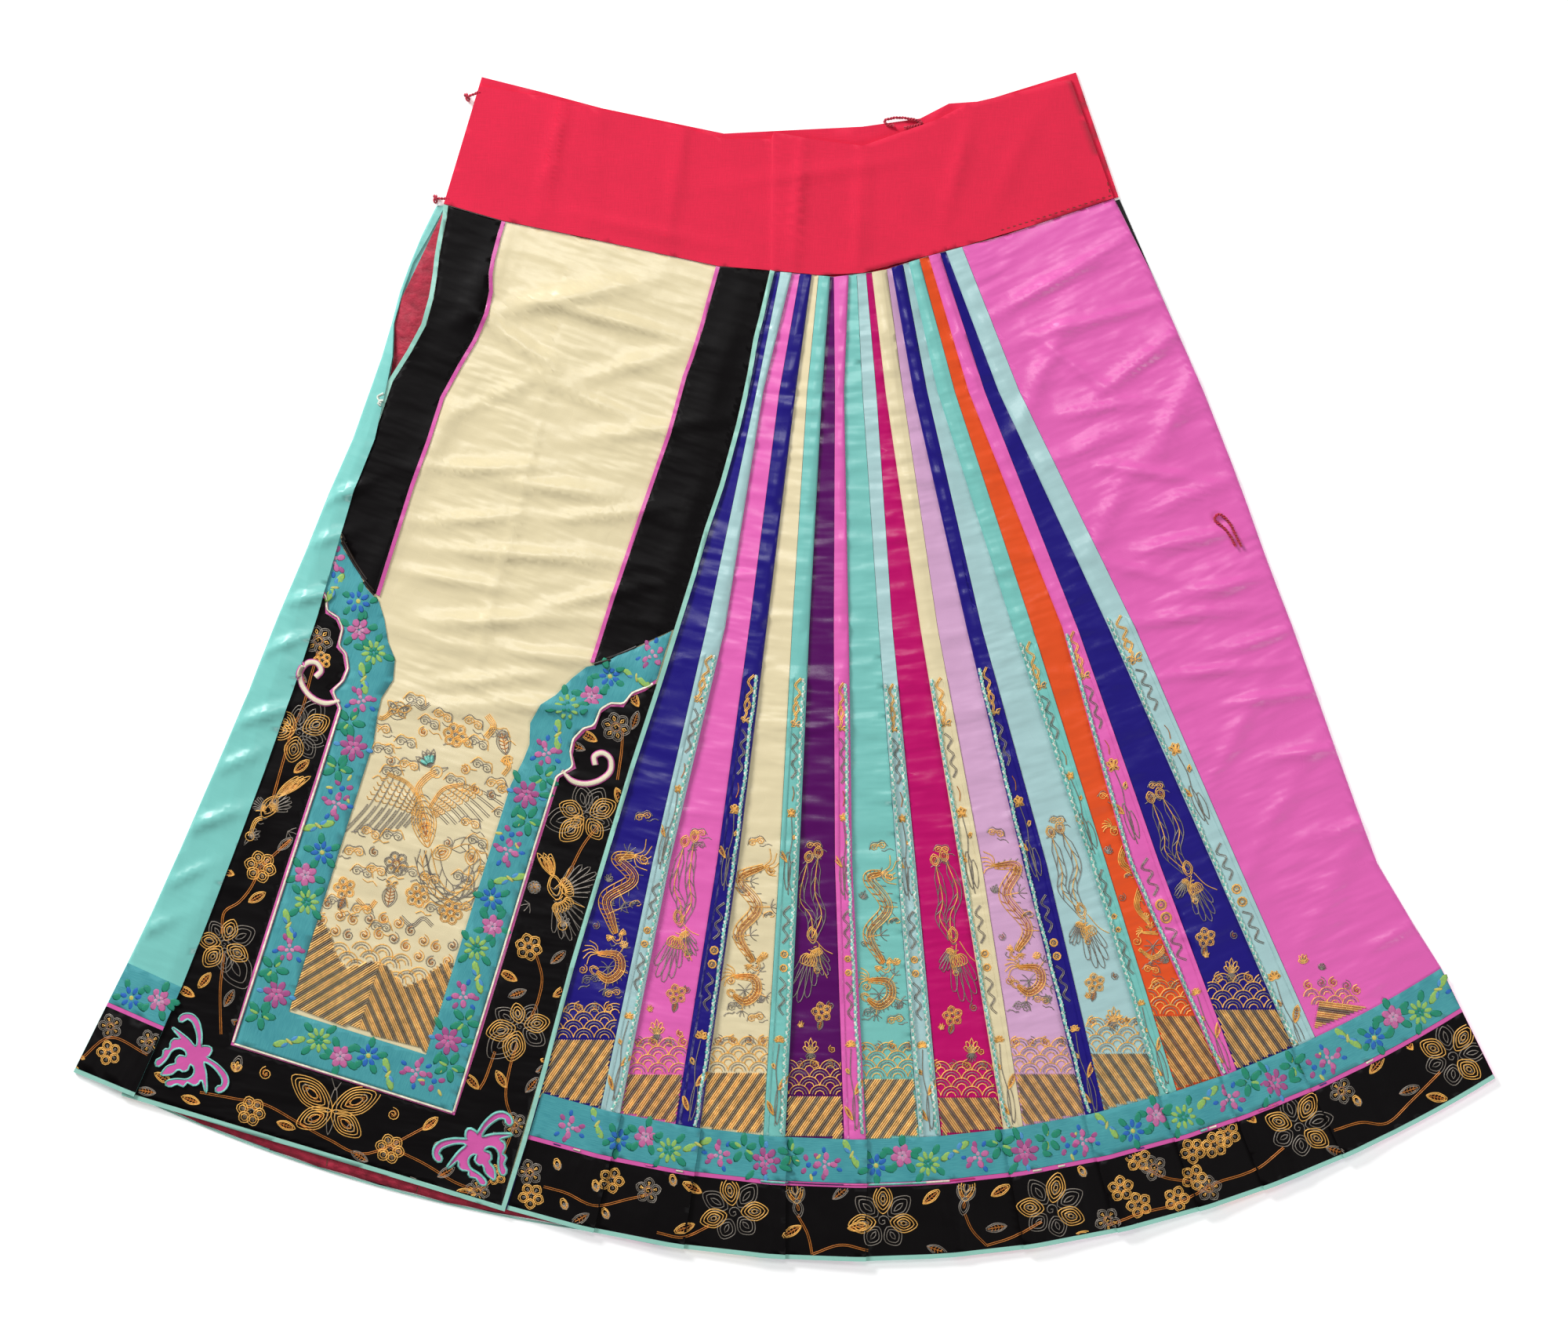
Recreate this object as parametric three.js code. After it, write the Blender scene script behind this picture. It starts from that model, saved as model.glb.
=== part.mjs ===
// Apron skirt laid flat: two overlapping panels on one waistband.
// Front, from left to right: a plain mint end panel folded round from the back, an embroidered
// door panel, twenty narrow and wide gores pressed into nine knife pleats, a plain pink end panel
// folded round to the back. Millimetres, +X right, +Y towards the waist, +Z off the table.
// The origin is the middle of the footprint, on the table.
import * as THREE from 'three';

// Cloth and stacking
const CLOTH = 1.2;
const TRIM = 0.8;
const GAP = 0.3;
const LINING = 1.0;
const LEVEL = { back: 0, inner: 1.5, low: 3.0, middle: 4.5, top: 6.0 };
const OVER_DOOR = 5.6;
const SEAM = GAP / 2;
const WAIST_GAP = 0.6;
const BACK_WAIST_GAP = 2.5;

// Hem and border widths
const FRONT_HEM = { x: 62, y: 534, radius: 1048.7 };
const BACK_HEM = { x: 26.7, y: 896, radius: 1399 };
const BORDER_DEPTH = 105.5;
const RIBBON_WIDTH = 38;
const PIPING_WIDTH = 3.7;
const BINDING_WIDTH = 4;
const BACK_BINDING = 1.5;

// Pleats
const PLEAT_CLEAR = 2.0;
const DOOR_CLEAR = 1.3;
const FOLD_NOSE = 1.2;
const RETURN_SHARE = 0.55;
const RETURN_MAX = 12;
const SHARP = 0.4;
const FOLD_CLEAR = 0.35;
const BRAID_RAMP = 1.5;
const BRAID_WIDTH = 3.8;
const BRAID_HEIGHT = 0.9;
const PINK_RUN = 24;
const CENTRE_RISE = 0.5;

// Door panel: its own frame starts at the middle of its top edge, u across and v down its length
const DOOR = { x: -153, y: 371.6, lean: THREE.MathUtils.degToRad(17.45), length: 831, hem: 347, skew: 4 };
const DOOR_LIFT = 1.9;
const BORDER_END = { full: 300, inner: 354.5, middle: 332.2, outer: 306.3 };

const COLOUR = {
  red: 0xdc264d, lining: 0xa8283c, mint: 0x8cc8c0, black: 0x100c0e, cream: 0xe6d6b4,
  navy: 0x201c78, lightBlue: 0xb4cbcb, pink: 0xe164ac, purple: 0x50025a, magenta: 0xbe0264,
  lilac: 0xd5a8c3, orange: 0xf15632, teal: 0x4b989e, piping: 0xd264a5,
};

// Seams and folds across the front, x at five heights down the skirt
const BOUNDARIES = [
  { x: { waist: -3, hip: -24, thigh: -67, knee: -114, ribbon: -159, hem: -182 } },
  { x: { waist: 7, hip: -18, thigh: -51, knee: -99, ribbon: -142, hem: -166 } },
  { x: { waist: 14, hip: -4, thigh: -30, knee: -58, ribbon: -94, hem: -112 } },
  { x: { waist: 24, hip: 10, thigh: -15, knee: -40, ribbon: -73, hem: -88 } },
  { x: { waist: 30, hip: 20, thigh: 7, knee: -4, ribbon: -18, hem: -23 } },
  { x: { waist: 40, hip: 33, thigh: 22, knee: 13, ribbon: 1, hem: 0 } },
  { x: { waist: 43, hip: 44, thigh: 43, knee: 44, ribbon: 52, hem: 54 } },
  { x: { waist: 56, hip: 52, thigh: 56, knee: 59, ribbon: 71, hem: 70 } },
  { x: { waist: 63, hip: 68, thigh: 82, knee: 98, ribbon: 117, hem: 127 } },
  { x: { waist: 71, hip: 80, thigh: 94, knee: 114, ribbon: 136, hem: 148 } },
  { x: { waist: 76, hip: 88, thigh: 118, knee: 152, ribbon: 190, hem: 209 } },
  { x: { waist: 89, hip: 103, thigh: 133, knee: 171, ribbon: 207, hem: 226 } },
  { x: { waist: 93, hip: 112, thigh: 158, knee: 207, ribbon: 261, hem: 290 } },
  { x: { waist: 103, hip: 124, thigh: 171, knee: 227, ribbon: 277, hem: 307 } },
  { x: { waist: 108, hip: 133, thigh: 198, knee: 265, ribbon: 326, hem: 361 } },
  { x: { waist: 117, hip: 148, thigh: 215, knee: 279, ribbon: 340, hem: 378 } },
  { x: { waist: 125, hip: 160, thigh: 241, knee: 298, ribbon: 379, hem: 417 } },
  { x: { waist: 135, hip: 174, thigh: 254, knee: 325, ribbon: 392, hem: 435 } },
  { x: { waist: 140, hip: 186, thigh: 281, knee: 371, ribbon: 441, hem: 486 } },
  { x: { waist: 154, hip: 204, thigh: 304, knee: 393, ribbon: 460, hem: 507 } },
];
const HEIGHT = { hip: 238, thigh: 34, knee: -170 };

// Gores from left to right: boundaries are counted from 1, 0 is the door's edge
const GORES = [
  { colour: 'navy', wide: true, seam: 1, other: 0, fold: 2 },
  { colour: 'lightBlue', wide: false, fold: 2, seam: 1, other: 0, braid: 10 },
  { colour: 'pink', wide: true, seam: 3, other: 2, fold: 4 },
  { colour: 'navy', wide: false, fold: 4, seam: 3, other: 2, braid: -7 },
  { colour: 'cream', wide: true, seam: 5, other: 4, fold: 6 },
  { colour: 'mint', wide: false, fold: 6, seam: 5, other: 4, braid: -10 },
  { colour: 'purple', wide: true, seam: 7, other: 6, fold: 8 },
  { colour: 'pink', wide: false, fold: 8, seam: 7, other: 6, braid: -14 },
  { colour: 'mint', wide: true, centre: true, seam: 9, other: 8 },
  { colour: 'lightBlue', wide: false, centre: true, left: 9, right: 10, braid: -15 },
  { colour: 'magenta', wide: true, centre: true, seam: 10, other: 11 },
  { colour: 'cream', wide: false, fold: 11, seam: 12, other: 13, braid: -10 },
  { colour: 'lilac', wide: true, seam: 12, other: 13, fold: 11 },
  { colour: 'navy', wide: false, fold: 13, seam: 14, other: 15, braid: -1 },
  { colour: 'lightBlue', wide: true, seam: 14, other: 15, fold: 13 },
  { colour: 'mint', wide: false, fold: 15, seam: 16, other: 17, braid: 21 },
  { colour: 'orange', wide: true, seam: 16, other: 17, fold: 15 },
  { colour: 'pink', wide: false, fold: 17, seam: 18, other: 19, braid: 30 },
  { colour: 'navy', wide: true, seam: 18, other: 19, fold: 17 },
  { colour: 'lightBlue', wide: false, fold: 19, seam: 20, other: 21, braid: 43 },
];

// Outline of the waist seam, of the two side folds and of the free edge of the mint panel
const WAIST = [
  { x: -301, y: 402.5 }, { x: -295, y: 401 }, { x: -243, y: 386 }, { x: -169, y: 371 },
  { x: -57, y: 347 }, { x: -10, y: 343 }, { x: 43, y: 338 }, { x: 84, y: 343 },
  { x: 125, y: 356 }, { x: 188, y: 373 }, { x: 286, y: 406 }, { x: 292, y: 408 },
];
const LEFT_FOLD = [
  { x: -301, y: 400 }, { x: -314, y: 374 }, { x: -331, y: 333 }, { x: -345, y: 279 },
  { x: -374, y: 197 }, { x: -404, y: 129 }, { x: -419, y: 88 }, { x: -443, y: 34 },
  { x: -469, y: -34 }, { x: -499, y: -102 }, { x: -532, y: -178 }, { x: -560, y: -239 },
  { x: -581, y: -280 }, { x: -616, y: -351 }, { x: -640, y: -400 },
];
const MINT_EDGE = [
  { x: -292, y: 403 }, { x: -302, y: 381 }, { x: -317, y: 361 }, { x: -328, y: 334 },
  { x: -338, y: 297 }, { x: -339, y: 268 }, { x: -342, y: 253 }, { x: -354, y: 198 },
  { x: -376, y: 143 }, { x: -400, y: 56 }, { x: -422, y: -12 }, { x: -450, y: -91 },
  { x: -485, y: -185 }, { x: -523, y: -281 }, { x: -562.5, y: -371 }, { x: -575, y: -400 },
];
const RIGHT_FOLD = [
  { x: 286, y: 406 }, { x: 302, y: 374 }, { x: 316, y: 347 }, { x: 328, y: 320 },
  { x: 364, y: 238 }, { x: 396, y: 156 }, { x: 420, y: 88 }, { x: 441, y: 34 },
  { x: 465, y: -34 }, { x: 487, y: -97 }, { x: 517, y: -178 }, { x: 543, y: -219 },
  { x: 569, y: -260 }, { x: 591, y: -301 }, { x: 618, y: -360 }, { x: 641, y: -415 },
];
const MINT_UNDER = { top: -150, foot: -440 };
const PINK_UNDER = { top: 228, foot: 545 };
const MINT_LINES = {
  ribbonTop: { x: -568, y: -257, slope: -0.44 },
  hem: { x: -616, y: -351, slope: -0.4 },
};

// Waistband: a row for each upright line across it, from the left end; lift is its low crease
const FRONT_BAND = [
  { top: [-264, 503], bottom: [-294.5, 401], lift: 0 },
  { top: [-211, 494], bottom: [-243, 386], lift: 0.4 },
  { top: [-158, 482], bottom: [-169, 371], lift: 0.9 },
  { top: [-150, 480], bottom: [-160, 369], lift: 0.1 },
  { top: [-92, 468], bottom: [-100, 356.2], lift: 0.3 },
  { top: [-52, 457], bottom: [-57, 347], lift: 0.2 },
  { top: [-11, 457], bottom: [-12, 343.2], lift: 0.1 },
  { top: [-9, 463], bottom: [-10, 343], lift: 1.6 },
  { top: [22, 457], bottom: [31, 339.1], lift: 0.9 },
  { top: [68, 451], bottom: [68, 341], lift: 0.2 },
  { top: [133, 474], bottom: [125, 356], lift: 0.6 },
  { top: [158, 487], bottom: [157, 364.6], lift: 0.9 },
  { top: [200, 497], bottom: [216, 382.4], lift: 0.2 },
  { top: [248, 509], bottom: [285.5, 405.8], lift: 0 },
];
const BACK_BAND = [
  { top: [-262, 511], bottom: [-295, 401] },
  { top: [-210, 498], bottom: [-243, 386] },
  { top: [-158, 484], bottom: [-169, 371] },
  { top: [-52, 462], bottom: [-57, 347] },
  { top: [68, 468], bottom: [43, 338] },
  { top: [118, 475], bottom: [84, 343] },
  { top: [143, 488], bottom: [125, 356] },
  { top: [172, 490], bottom: [188, 373] },
  { top: [253, 515], bottom: [290, 407] },
];
const BAND_LEVEL = { top: 2.9, seam: 3.3 };
const FRONT_BAND_THICK = 2.2;
const BACK_BAND_THICK = 2.4;

// Door outline: v down the panel and u of its two edges and of the black border's inner lines
const DOOR_ROWS = [
  { v: 0, left: -144, innerLeft: -90, innerRight: 99, right: 147 },
  { v: 25, left: -142, innerLeft: -90, innerRight: 100, right: 150 },
  { v: 45, left: -140, innerLeft: -89, innerRight: 101, right: 151 },
  { v: 60, left: -138, innerLeft: -87, innerRight: 101, right: 153 },
  { v: 75, left: -135, innerLeft: -82, innerRight: 101, right: 155 },
  { v: 95, left: -132, innerLeft: -80, innerRight: 100, right: 157 },
  { v: 120, left: -131, innerLeft: -83, innerRight: 101, right: 159 },
  { v: 145, left: -136, innerLeft: -89, innerRight: 102, right: 160 },
  { v: 175, left: -144, innerLeft: -95, innerRight: 101, right: 161 },
  { v: 215, left: -145, innerLeft: -95, innerRight: 100, right: 160 },
  { v: 256, left: -148, innerLeft: -97, innerRight: 99, right: 161 },
  { v: 300, left: -153, innerLeft: -97, innerRight: 98, right: 161 },
  { v: 356, left: -157, innerLeft: -97, innerRight: 98, right: 161 },
  { v: 430, left: -159, innerLeft: -97, innerRight: 98, right: 160 },
  { v: 521, left: -161, innerLeft: -97, innerRight: 98, right: 161 },
  { v: 610, left: -164, innerLeft: -97, innerRight: 98, right: 162 },
  { v: 700, left: -170, innerLeft: -98, innerRight: 98, right: 166 },
  { v: 768, left: -175, innerLeft: -99, innerRight: 98, right: 168 },
  { v: 831, left: -179, innerLeft: -100, innerRight: 98, right: 168 },
];
const DOOR_INSIDE = [0.22, 0.41, 0.59, 0.78];

// Soft ridges of the cloth: middle, direction in degrees, half length, half width and height
const DOOR_RIDGES = [
  { u: -5, v: 58, turn: -9, long: 62, wide: 15, high: 3.2 },
  { u: -104, v: 122, turn: 28, long: 34, wide: 32, high: 1.5 },
  { u: -30, v: 118, turn: -20, long: 40, wide: 20, high: 1.6 },
  { u: 20, v: 196, turn: 6, long: 60, wide: 22, high: 1.5 },
  { u: -20, v: 262, turn: 12, long: 52, wide: 20, high: 1.2 },
];
const PINK_RIDGES = [
  { x: 292, y: 300, turn: 24, long: 46, wide: 13, high: 2.2 },
  { x: 330, y: 215, turn: 14, long: 44, wide: 14, high: 1.8 },
  { x: 372, y: 62, turn: 12, long: 46, wide: 13, high: 2.4 },
  { x: 352, y: 140, turn: 15, long: 44, wide: 15, high: 1.5 },
  { x: 410, y: -40, turn: 10, long: 46, wide: 14, high: 1.9 },
  { x: 478, y: -160, turn: -12, long: 46, wide: 16, high: 1.6 },
];

// Brocade ribbon round the door's foot: right half of its cream-side and black-side edges
const RIBBON_EDGE = [
  { cream: [156.7, 308], black: [156.7, 352] },
  { cream: [137, 326], black: [148, 361] },
  { cream: [128, 333], black: [138, 369] },
  { cream: [119, 340], black: [134, 380] },
  { cream: [108, 352], black: [123, 383] },
  { cream: [94, 360], black: [116, 391] },
  { cream: [85, 373], black: [115, 406] },
  { cream: [76, 391], black: [107, 411] },
  { cream: [66, 403], black: [101, 423] },
  { cream: [62, 421], black: [102, 435] },
  { cream: [67, 439], black: [108, 446] },
  { cream: [66, 453], black: [97, 458] },
  { cream: [62, 477], black: [97, 477] },
  { cream: [62, 521], black: [97, 521] },
  { cream: [62, 610], black: [98, 610] },
  { cream: [62, 700], black: [98.5, 700] },
  { cream: [62, 722], black: [99, 762] },
  { cream: [52, 722], black: [89, 762] },
];

const RIBBON_FOOT = 722;

// Ruyi hook where the black border curls in, and the butterfly sewn in each lower corner
const HOOK_PATH = [
  { u: 101, v: 450 }, { u: 112, v: 457 }, { u: 128, v: 454 }, { u: 142, v: 446 },
  { u: 149, v: 434 }, { u: 145, v: 422 }, { u: 134, v: 417 }, { u: 125, v: 423 },
  { u: 125, v: 433 },
];
const HOOK_WIDTH = 5.5;
const CORNER = { u: 127, v: 783, turn: THREE.MathUtils.degToRad(45) };
const BUTTERFLY_HALF = [
  [15, 0], [14.5, 2], [9, 5.5], [7.5, 4.5], [10, 9], [13.6, 15.7], [16.2, 26], [14, 33.7],
  [8, 37.5], [2.5, 37], [0.8, 33.6], [4, 31.4], [7.5, 32.5], [10, 29.5], [10.6, 25], [8.6, 15],
  [3.5, 7.5], [1, 17], [-6, 31.4], [-7.2, 30], [-5.2, 20], [-10, 22.4], [-14.4, 21],
  [-17.4, 16.4], [-22, 18.4], [-26, 13.5], [-32, 13.2], [-35, 9.6], [-32.5, 7], [-24, 9.4],
  [-16.5, 13.8], [-9.6, 12.8], [-6.4, 8], [-8, 3.6], [-12, 7.4], [-17, 6.2], [-19, 2.8],
  [-26, 4.2], [-34, 0.9],
];

// Knot buttons and cord loops
const KNOTS = [
  { x: -267.3, y: 496.5, z: 4.6, turn: THREE.MathUtils.degToRad(24) },
  { x: -294, y: 405.5, z: 4.6, turn: THREE.MathUtils.degToRad(2) },
];
const KNOT_PROFILE = [
  [0, 0.3], [1.5, 0.3], [1.5, 4], [3.4, 5.2], [4.3, 7.8], [3.4, 10.6], [0, 11.8],
];
const CORD_RADIUS = 1.1;
const BACK_LOOP = {
  z: 3.9,
  points: [[95, 468.5], [88.5, 470], [88, 473.5], [100, 475.5], [116, 473], [118, 470], [104, 466.5]],
};
const PINK_LOOP = {
  z: 6.5,
  points: [[391, 104], [386.5, 113], [380, 121], [373.6, 126], [373.4, 130], [378.5, 131.5], [386, 124], [391, 114], [396, 104]],
};

function piecewise(table, from, to, value) {
  const rising = table[0][from] < table[table.length - 1][from];
  let i = 0;
  while (i < table.length - 2 && (rising ? value > table[i + 1][from] : value < table[i + 1][from])) i += 1;
  const share = (value - table[i][from]) / (table[i + 1][from] - table[i][from]);
  return THREE.MathUtils.lerp(table[i][to], table[i + 1][to], share);
}

const waistY = (x) => piecewise(WAIST, 'x', 'y', x);
const leftFoldX = (y) => piecewise(LEFT_FOLD, 'y', 'x', y);
const mintEdgeX = (y) => piecewise(MINT_EDGE, 'y', 'x', y);
const rightFoldX = (y) => piecewise(RIGHT_FOLD, 'y', 'x', y);
const straightX = (line, y) => THREE.MathUtils.mapLinear(y, 400, -400, line.top, line.foot);
const mintUnderX = (y) => straightX(MINT_UNDER, y);
const pinkUnderX = (y) => straightX(PINK_UNDER, y);
const arcY = (arc, inset, x) => arc.y - Math.sqrt((arc.radius - inset) ** 2 - (x - arc.x) ** 2);
const frontHemY = (x) => arcY(FRONT_HEM, 0, x);
const ribbonTopY = (x) => arcY(FRONT_HEM, BORDER_DEPTH, x);
const lineY = (line, x) => line.y + line.slope * (x - line.x);

// The back hem lies inside the front hem on the right, and shows below the door on the left
function backHemY(x, inset) {
  const arc = arcY(BACK_HEM, inset, x);
  const left = lineY(MINT_LINES.hem, x) + inset;
  if (x < -562) return left;
  return x > 300 ? Math.max(arc, frontHemY(x) + 6 + inset) : arc;
}

function lerpPoint(a, b, share) {
  return [THREE.MathUtils.lerp(a[0], b[0], share), THREE.MathUtils.lerp(a[1], b[1], share)];
}

function distance(a, b) {
  return Math.hypot(b[0] - a[0], b[1] - a[1]);
}

function lift(point, z) {
  return [point[0], point[1], z];
}

// A closed wall between two matching grids of points
function wall(outer, inner) {
  const rows = outer.length;
  const columns = outer[0].length;
  const positions = [outer, inner].flat(3);
  const at = (side, r, c) => (side * rows + r) * columns + c;
  const index = [];
  const quad = (a, b, c, d) => index.push(a, b, c, a, c, d);
  for (let r = 0; r < rows - 1; r += 1) {
    for (let c = 0; c < columns - 1; c += 1) {
      quad(at(0, r, c), at(0, r, c + 1), at(0, r + 1, c + 1), at(0, r + 1, c));
      quad(at(1, r, c), at(1, r + 1, c), at(1, r + 1, c + 1), at(1, r, c + 1));
    }
  }
  const rim = [];
  for (let c = 0; c < columns - 1; c += 1) rim.push([0, c]);
  for (let r = 0; r < rows - 1; r += 1) rim.push([r, columns - 1]);
  for (let c = columns - 1; c > 0; c -= 1) rim.push([rows - 1, c]);
  for (let r = rows - 1; r > 0; r -= 1) rim.push([r, 0]);
  rim.forEach(([r, c], i) => {
    const [nextR, nextC] = rim[(i + 1) % rim.length];
    quad(at(0, nextR, nextC), at(0, r, c), at(1, r, c), at(1, nextR, nextC));
  });
  const geometry = new THREE.BufferGeometry();
  geometry.setAttribute('position', new THREE.Float32BufferAttribute(positions, 3));
  geometry.setIndex(volumeOf(positions, index) < 0 ? index.reverse() : index);
  geometry.computeVertexNormals();
  return geometry;
}

function volumeOf(positions, index) {
  const corner = (i) => new THREE.Vector3().fromArray(positions, index[i] * 3);
  let volume = 0;
  for (let i = 0; i < index.length; i += 3) {
    volume += corner(i).dot(corner(i + 1).cross(corner(i + 2)));
  }
  return volume;
}

// A sheet of even thickness above a grid of points
function sheet(grid, thickness) {
  const top = grid.map((row) => row.map(([x, y, z]) => [x, y, z + thickness]));
  return wall(top, grid);
}

const skirt = new THREE.Group();
skirt.name = 'apron_skirt';

function add(name, geometry, colour, roughness = 0.55) {
  const material = new THREE.MeshStandardMaterial({ color: COLOUR[colour], roughness, metalness: 0 });
  const mesh = new THREE.Mesh(geometry, material);
  mesh.name = name;
  skirt.add(mesh);
}

// Door panel frame
const doorAcross = [Math.cos(DOOR.lean), -Math.sin(DOOR.lean)];
const doorDown = [-Math.sin(DOOR.lean), -Math.cos(DOOR.lean)];
const doorPoint = (u, v) => [
  DOOR.x + u * doorAcross[0] + v * doorDown[0],
  DOOR.y + u * doorAcross[1] + v * doorDown[1],
];
const doorAt = (column, v) => piecewise(DOOR_ROWS, 'v', column, v);

// v of the door's hem, a little longer at its left corner
function doorHemV(u) {
  return DOOR.length + DOOR.skew * (doorAt('right', DOOR.length) - u) / DOOR.hem;
}

// v of the door's top edge, just under the waist seam
function doorTopV(u) {
  let v = 0;
  for (let i = 0; i < 6; i += 1) {
    const [x, y] = doorPoint(u, v);
    v += (y - waistY(x) + WAIST_GAP) / Math.cos(DOOR.lean);
  }
  return v;
}

function ridgeHeight(ridges, first, second, a, b) {
  let height = 0;
  for (const ridge of ridges) {
    const turn = THREE.MathUtils.degToRad(ridge.turn);
    const da = a - ridge[first];
    const db = b - ridge[second];
    const along = (da * Math.cos(turn) + db * Math.sin(turn)) / ridge.long;
    const across = (db * Math.cos(turn) - da * Math.sin(turn)) / ridge.wide;
    height += ridge.high * Math.exp(-(along ** 2) - across ** 2);
  }
  return height;
}

// Height of the door's underside: flat, rising on the right over the first gore
function doorHeight(u, v) {
  const inner = doorAt('innerRight', v);
  const share = THREE.MathUtils.clamp((u - inner) / (doorAt('right', v) - inner), 0, 1);
  const fade = THREE.MathUtils.clamp((300 - v) / 40, 0, 1);
  return LEVEL.low + DOOR_LIFT * share + fade * ridgeHeight(DOOR_RIDGES, 'u', 'v', u, v);
}

function doorColumns(row) {
  const { left, innerLeft, innerRight, right } = row;
  const inside = DOOR_INSIDE.map((share) => THREE.MathUtils.lerp(innerLeft, innerRight, share));
  return [left, (left + innerLeft) / 2, innerLeft, ...inside, innerRight, (innerRight + right) / 2, right];
}

// Height along one row of the door, straight between its columns as the panel itself is
function heightOnRow(row, u) {
  const knots = doorColumns(row).map((column) => ({ u: column, z: doorHeight(column, row.v) }));
  return piecewise(knots, 'u', 'z', u);
}

function doorRowV(row, u) {
  if (row.v === 0) return doorTopV(u);
  return row.v === DOOR.length ? doorHemV(u) : row.v;
}

const SKIN = CLOTH + GAP;

// A point on a trim that lies on the door, on one of the door's own rows or anywhere flat
const onDoorRow = (row, u, raise = SKIN) => lift(doorPoint(u, doorRowV(row, u)), heightOnRow(row, u) + raise);
const onDoor = (u, v, raise = SKIN) => lift(doorPoint(u, v), doorHeight(u, v) + raise);

function addDoor() {
  const grid = DOOR_ROWS.map((row) => doorColumns(row).map((u) => onDoorRow(row, u, 0)));
  add('door_panel', sheet(grid, CLOTH), 'cream', 0.4);
}

function addDoorBorders() {
  const rows = DOOR_ROWS.filter((row) => row.v <= BORDER_END.full);
  const half = PIPING_WIDTH / 2;
  const edgeInset = BINDING_WIDTH + GAP;
  const sides = [
    { name: 'left', edge: 'left', inner: 'innerLeft', sign: -1 },
    { name: 'right', edge: 'right', inner: 'innerRight', sign: 1 },
  ];
  for (const { name, edge, inner, sign } of sides) {
    const strip = rows.map((row) => {
      const near = row[inner] + sign * half;
      const far = row[edge] - sign * edgeInset;
      return [near, (near + far) / 2, far].map((u) => onDoorRow(row, u));
    });
    const near = doorAt(inner, BORDER_END.inner) + sign * half;
    const far = doorAt(edge, BORDER_END.outer) - sign * edgeInset;
    const ends = [[near, BORDER_END.inner], [(near + far) / 2, BORDER_END.middle], [far, BORDER_END.outer]];
    strip.push(ends.map(([u, v]) => onDoor(u, v)));
    add(`door_border_${name}`, sheet(strip, TRIM), 'black', 0.45);
    const piping = rows.map((row) => [
      onDoorRow(row, row[inner] - sign * half),
      onDoorRow(row, row[inner] + sign * (half - GAP)),
    ]);
    const endV = BORDER_END.inner;
    piping.push([onDoor(near - sign * PIPING_WIDTH, endV + 1), onDoor(near - sign * GAP, endV)]);
    add(`door_piping_${name}`, sheet(piping, TRIM), 'piping');
  }
}

// Both halves of the ribbon's edges, right side first, then the left from the foot up
function ribbonPairs() {
  const right = RIBBON_EDGE;
  const mirror = ({ cream, black }) => ({ cream: [-cream[0], cream[1]], black: [-black[0], black[1]] });
  return [...right, ...right.map(mirror).reverse()].map(({ cream, black }) => {
    const width = distance(cream, black);
    const out = [(black[0] - cream[0]) / width, (black[1] - cream[1]) / width];
    const offset = (base, by) => [base[0] + out[0] * by, base[1] + out[1] * by];
    return { cream, black, offset };
  });
}

function addDoorFoot() {
  const pairs = ribbonPairs();
  const edgeU = (u, v) => {
    const inset = BINDING_WIDTH + GAP;
    return u > 0 ? doorAt('right', v) - inset : doorAt('left', v) + inset;
  };
  const within = ([u, v], spare = 1.2) => {
    const limit = edgeU(u, v) - Math.sign(u) * spare;
    return [u > 0 ? Math.min(u, limit) : Math.max(u, limit), v];
  };
  const strip = (from, to) => pairs.map((pair) => {
    const near = pair.offset(pair[from.edge], from.by);
    const far = pair.offset(pair[to.edge], to.by);
    return [onDoor(...within(near)), onDoor(...within(far))];
  });
  const outside = SEAM + PIPING_WIDTH;
  const ribbon = strip({ edge: 'cream', by: GAP }, { edge: 'black', by: -SEAM });
  add('door_ribbon', sheet(ribbon, TRIM), 'teal', 0.6);
  const piping = strip({ edge: 'black', by: SEAM }, { edge: 'black', by: outside });
  add('door_piping_lower', sheet(piping, TRIM), 'piping');
  const border = pairs.map((pair) => {
    const [u, v] = within(pair.offset(pair.black, outside + GAP), 0.9);
    if (v < RIBBON_FOOT) return [onDoor(u, v), onDoor(edgeU(u, v), v)];
    const outerU = Math.abs(u) > doorAt('innerRight', v) ? edgeU(u, DOOR.length) : u;
    return [onDoor(u, v), onDoor(outerU, doorHemV(outerU) - BINDING_WIDTH - GAP)];
  });
  add('door_border_lower', sheet(border, TRIM), 'black', 0.45);
}

function addDoorBinding() {
  const hem = [-120, -40, 40, 120];
  const down = DOOR_ROWS.map((row) => ({ row, u: row.left, inset: BINDING_WIDTH }));
  const up = [...DOOR_ROWS].reverse().map((row) => ({ row, u: row.right, inset: -BINDING_WIDTH }));
  const side = ({ row, u, inset }) => {
    const foot = row.v === DOOR.length ? BINDING_WIDTH : 0;
    const v = doorRowV(row, u);
    return [
      lift(doorPoint(u, v), heightOnRow(row, u) + SKIN),
      lift(doorPoint(u + inset, v - foot), heightOnRow(row, u + inset) + SKIN),
    ];
  };
  const across = hem.map((u) => [onDoor(u, doorHemV(u)), onDoor(u, doorHemV(u) - BINDING_WIDTH)]);
  const strip = [...down.map(side), ...across, ...up.map(side)];
  add('door_binding', sheet(strip, TRIM), 'mint');
}

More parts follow.
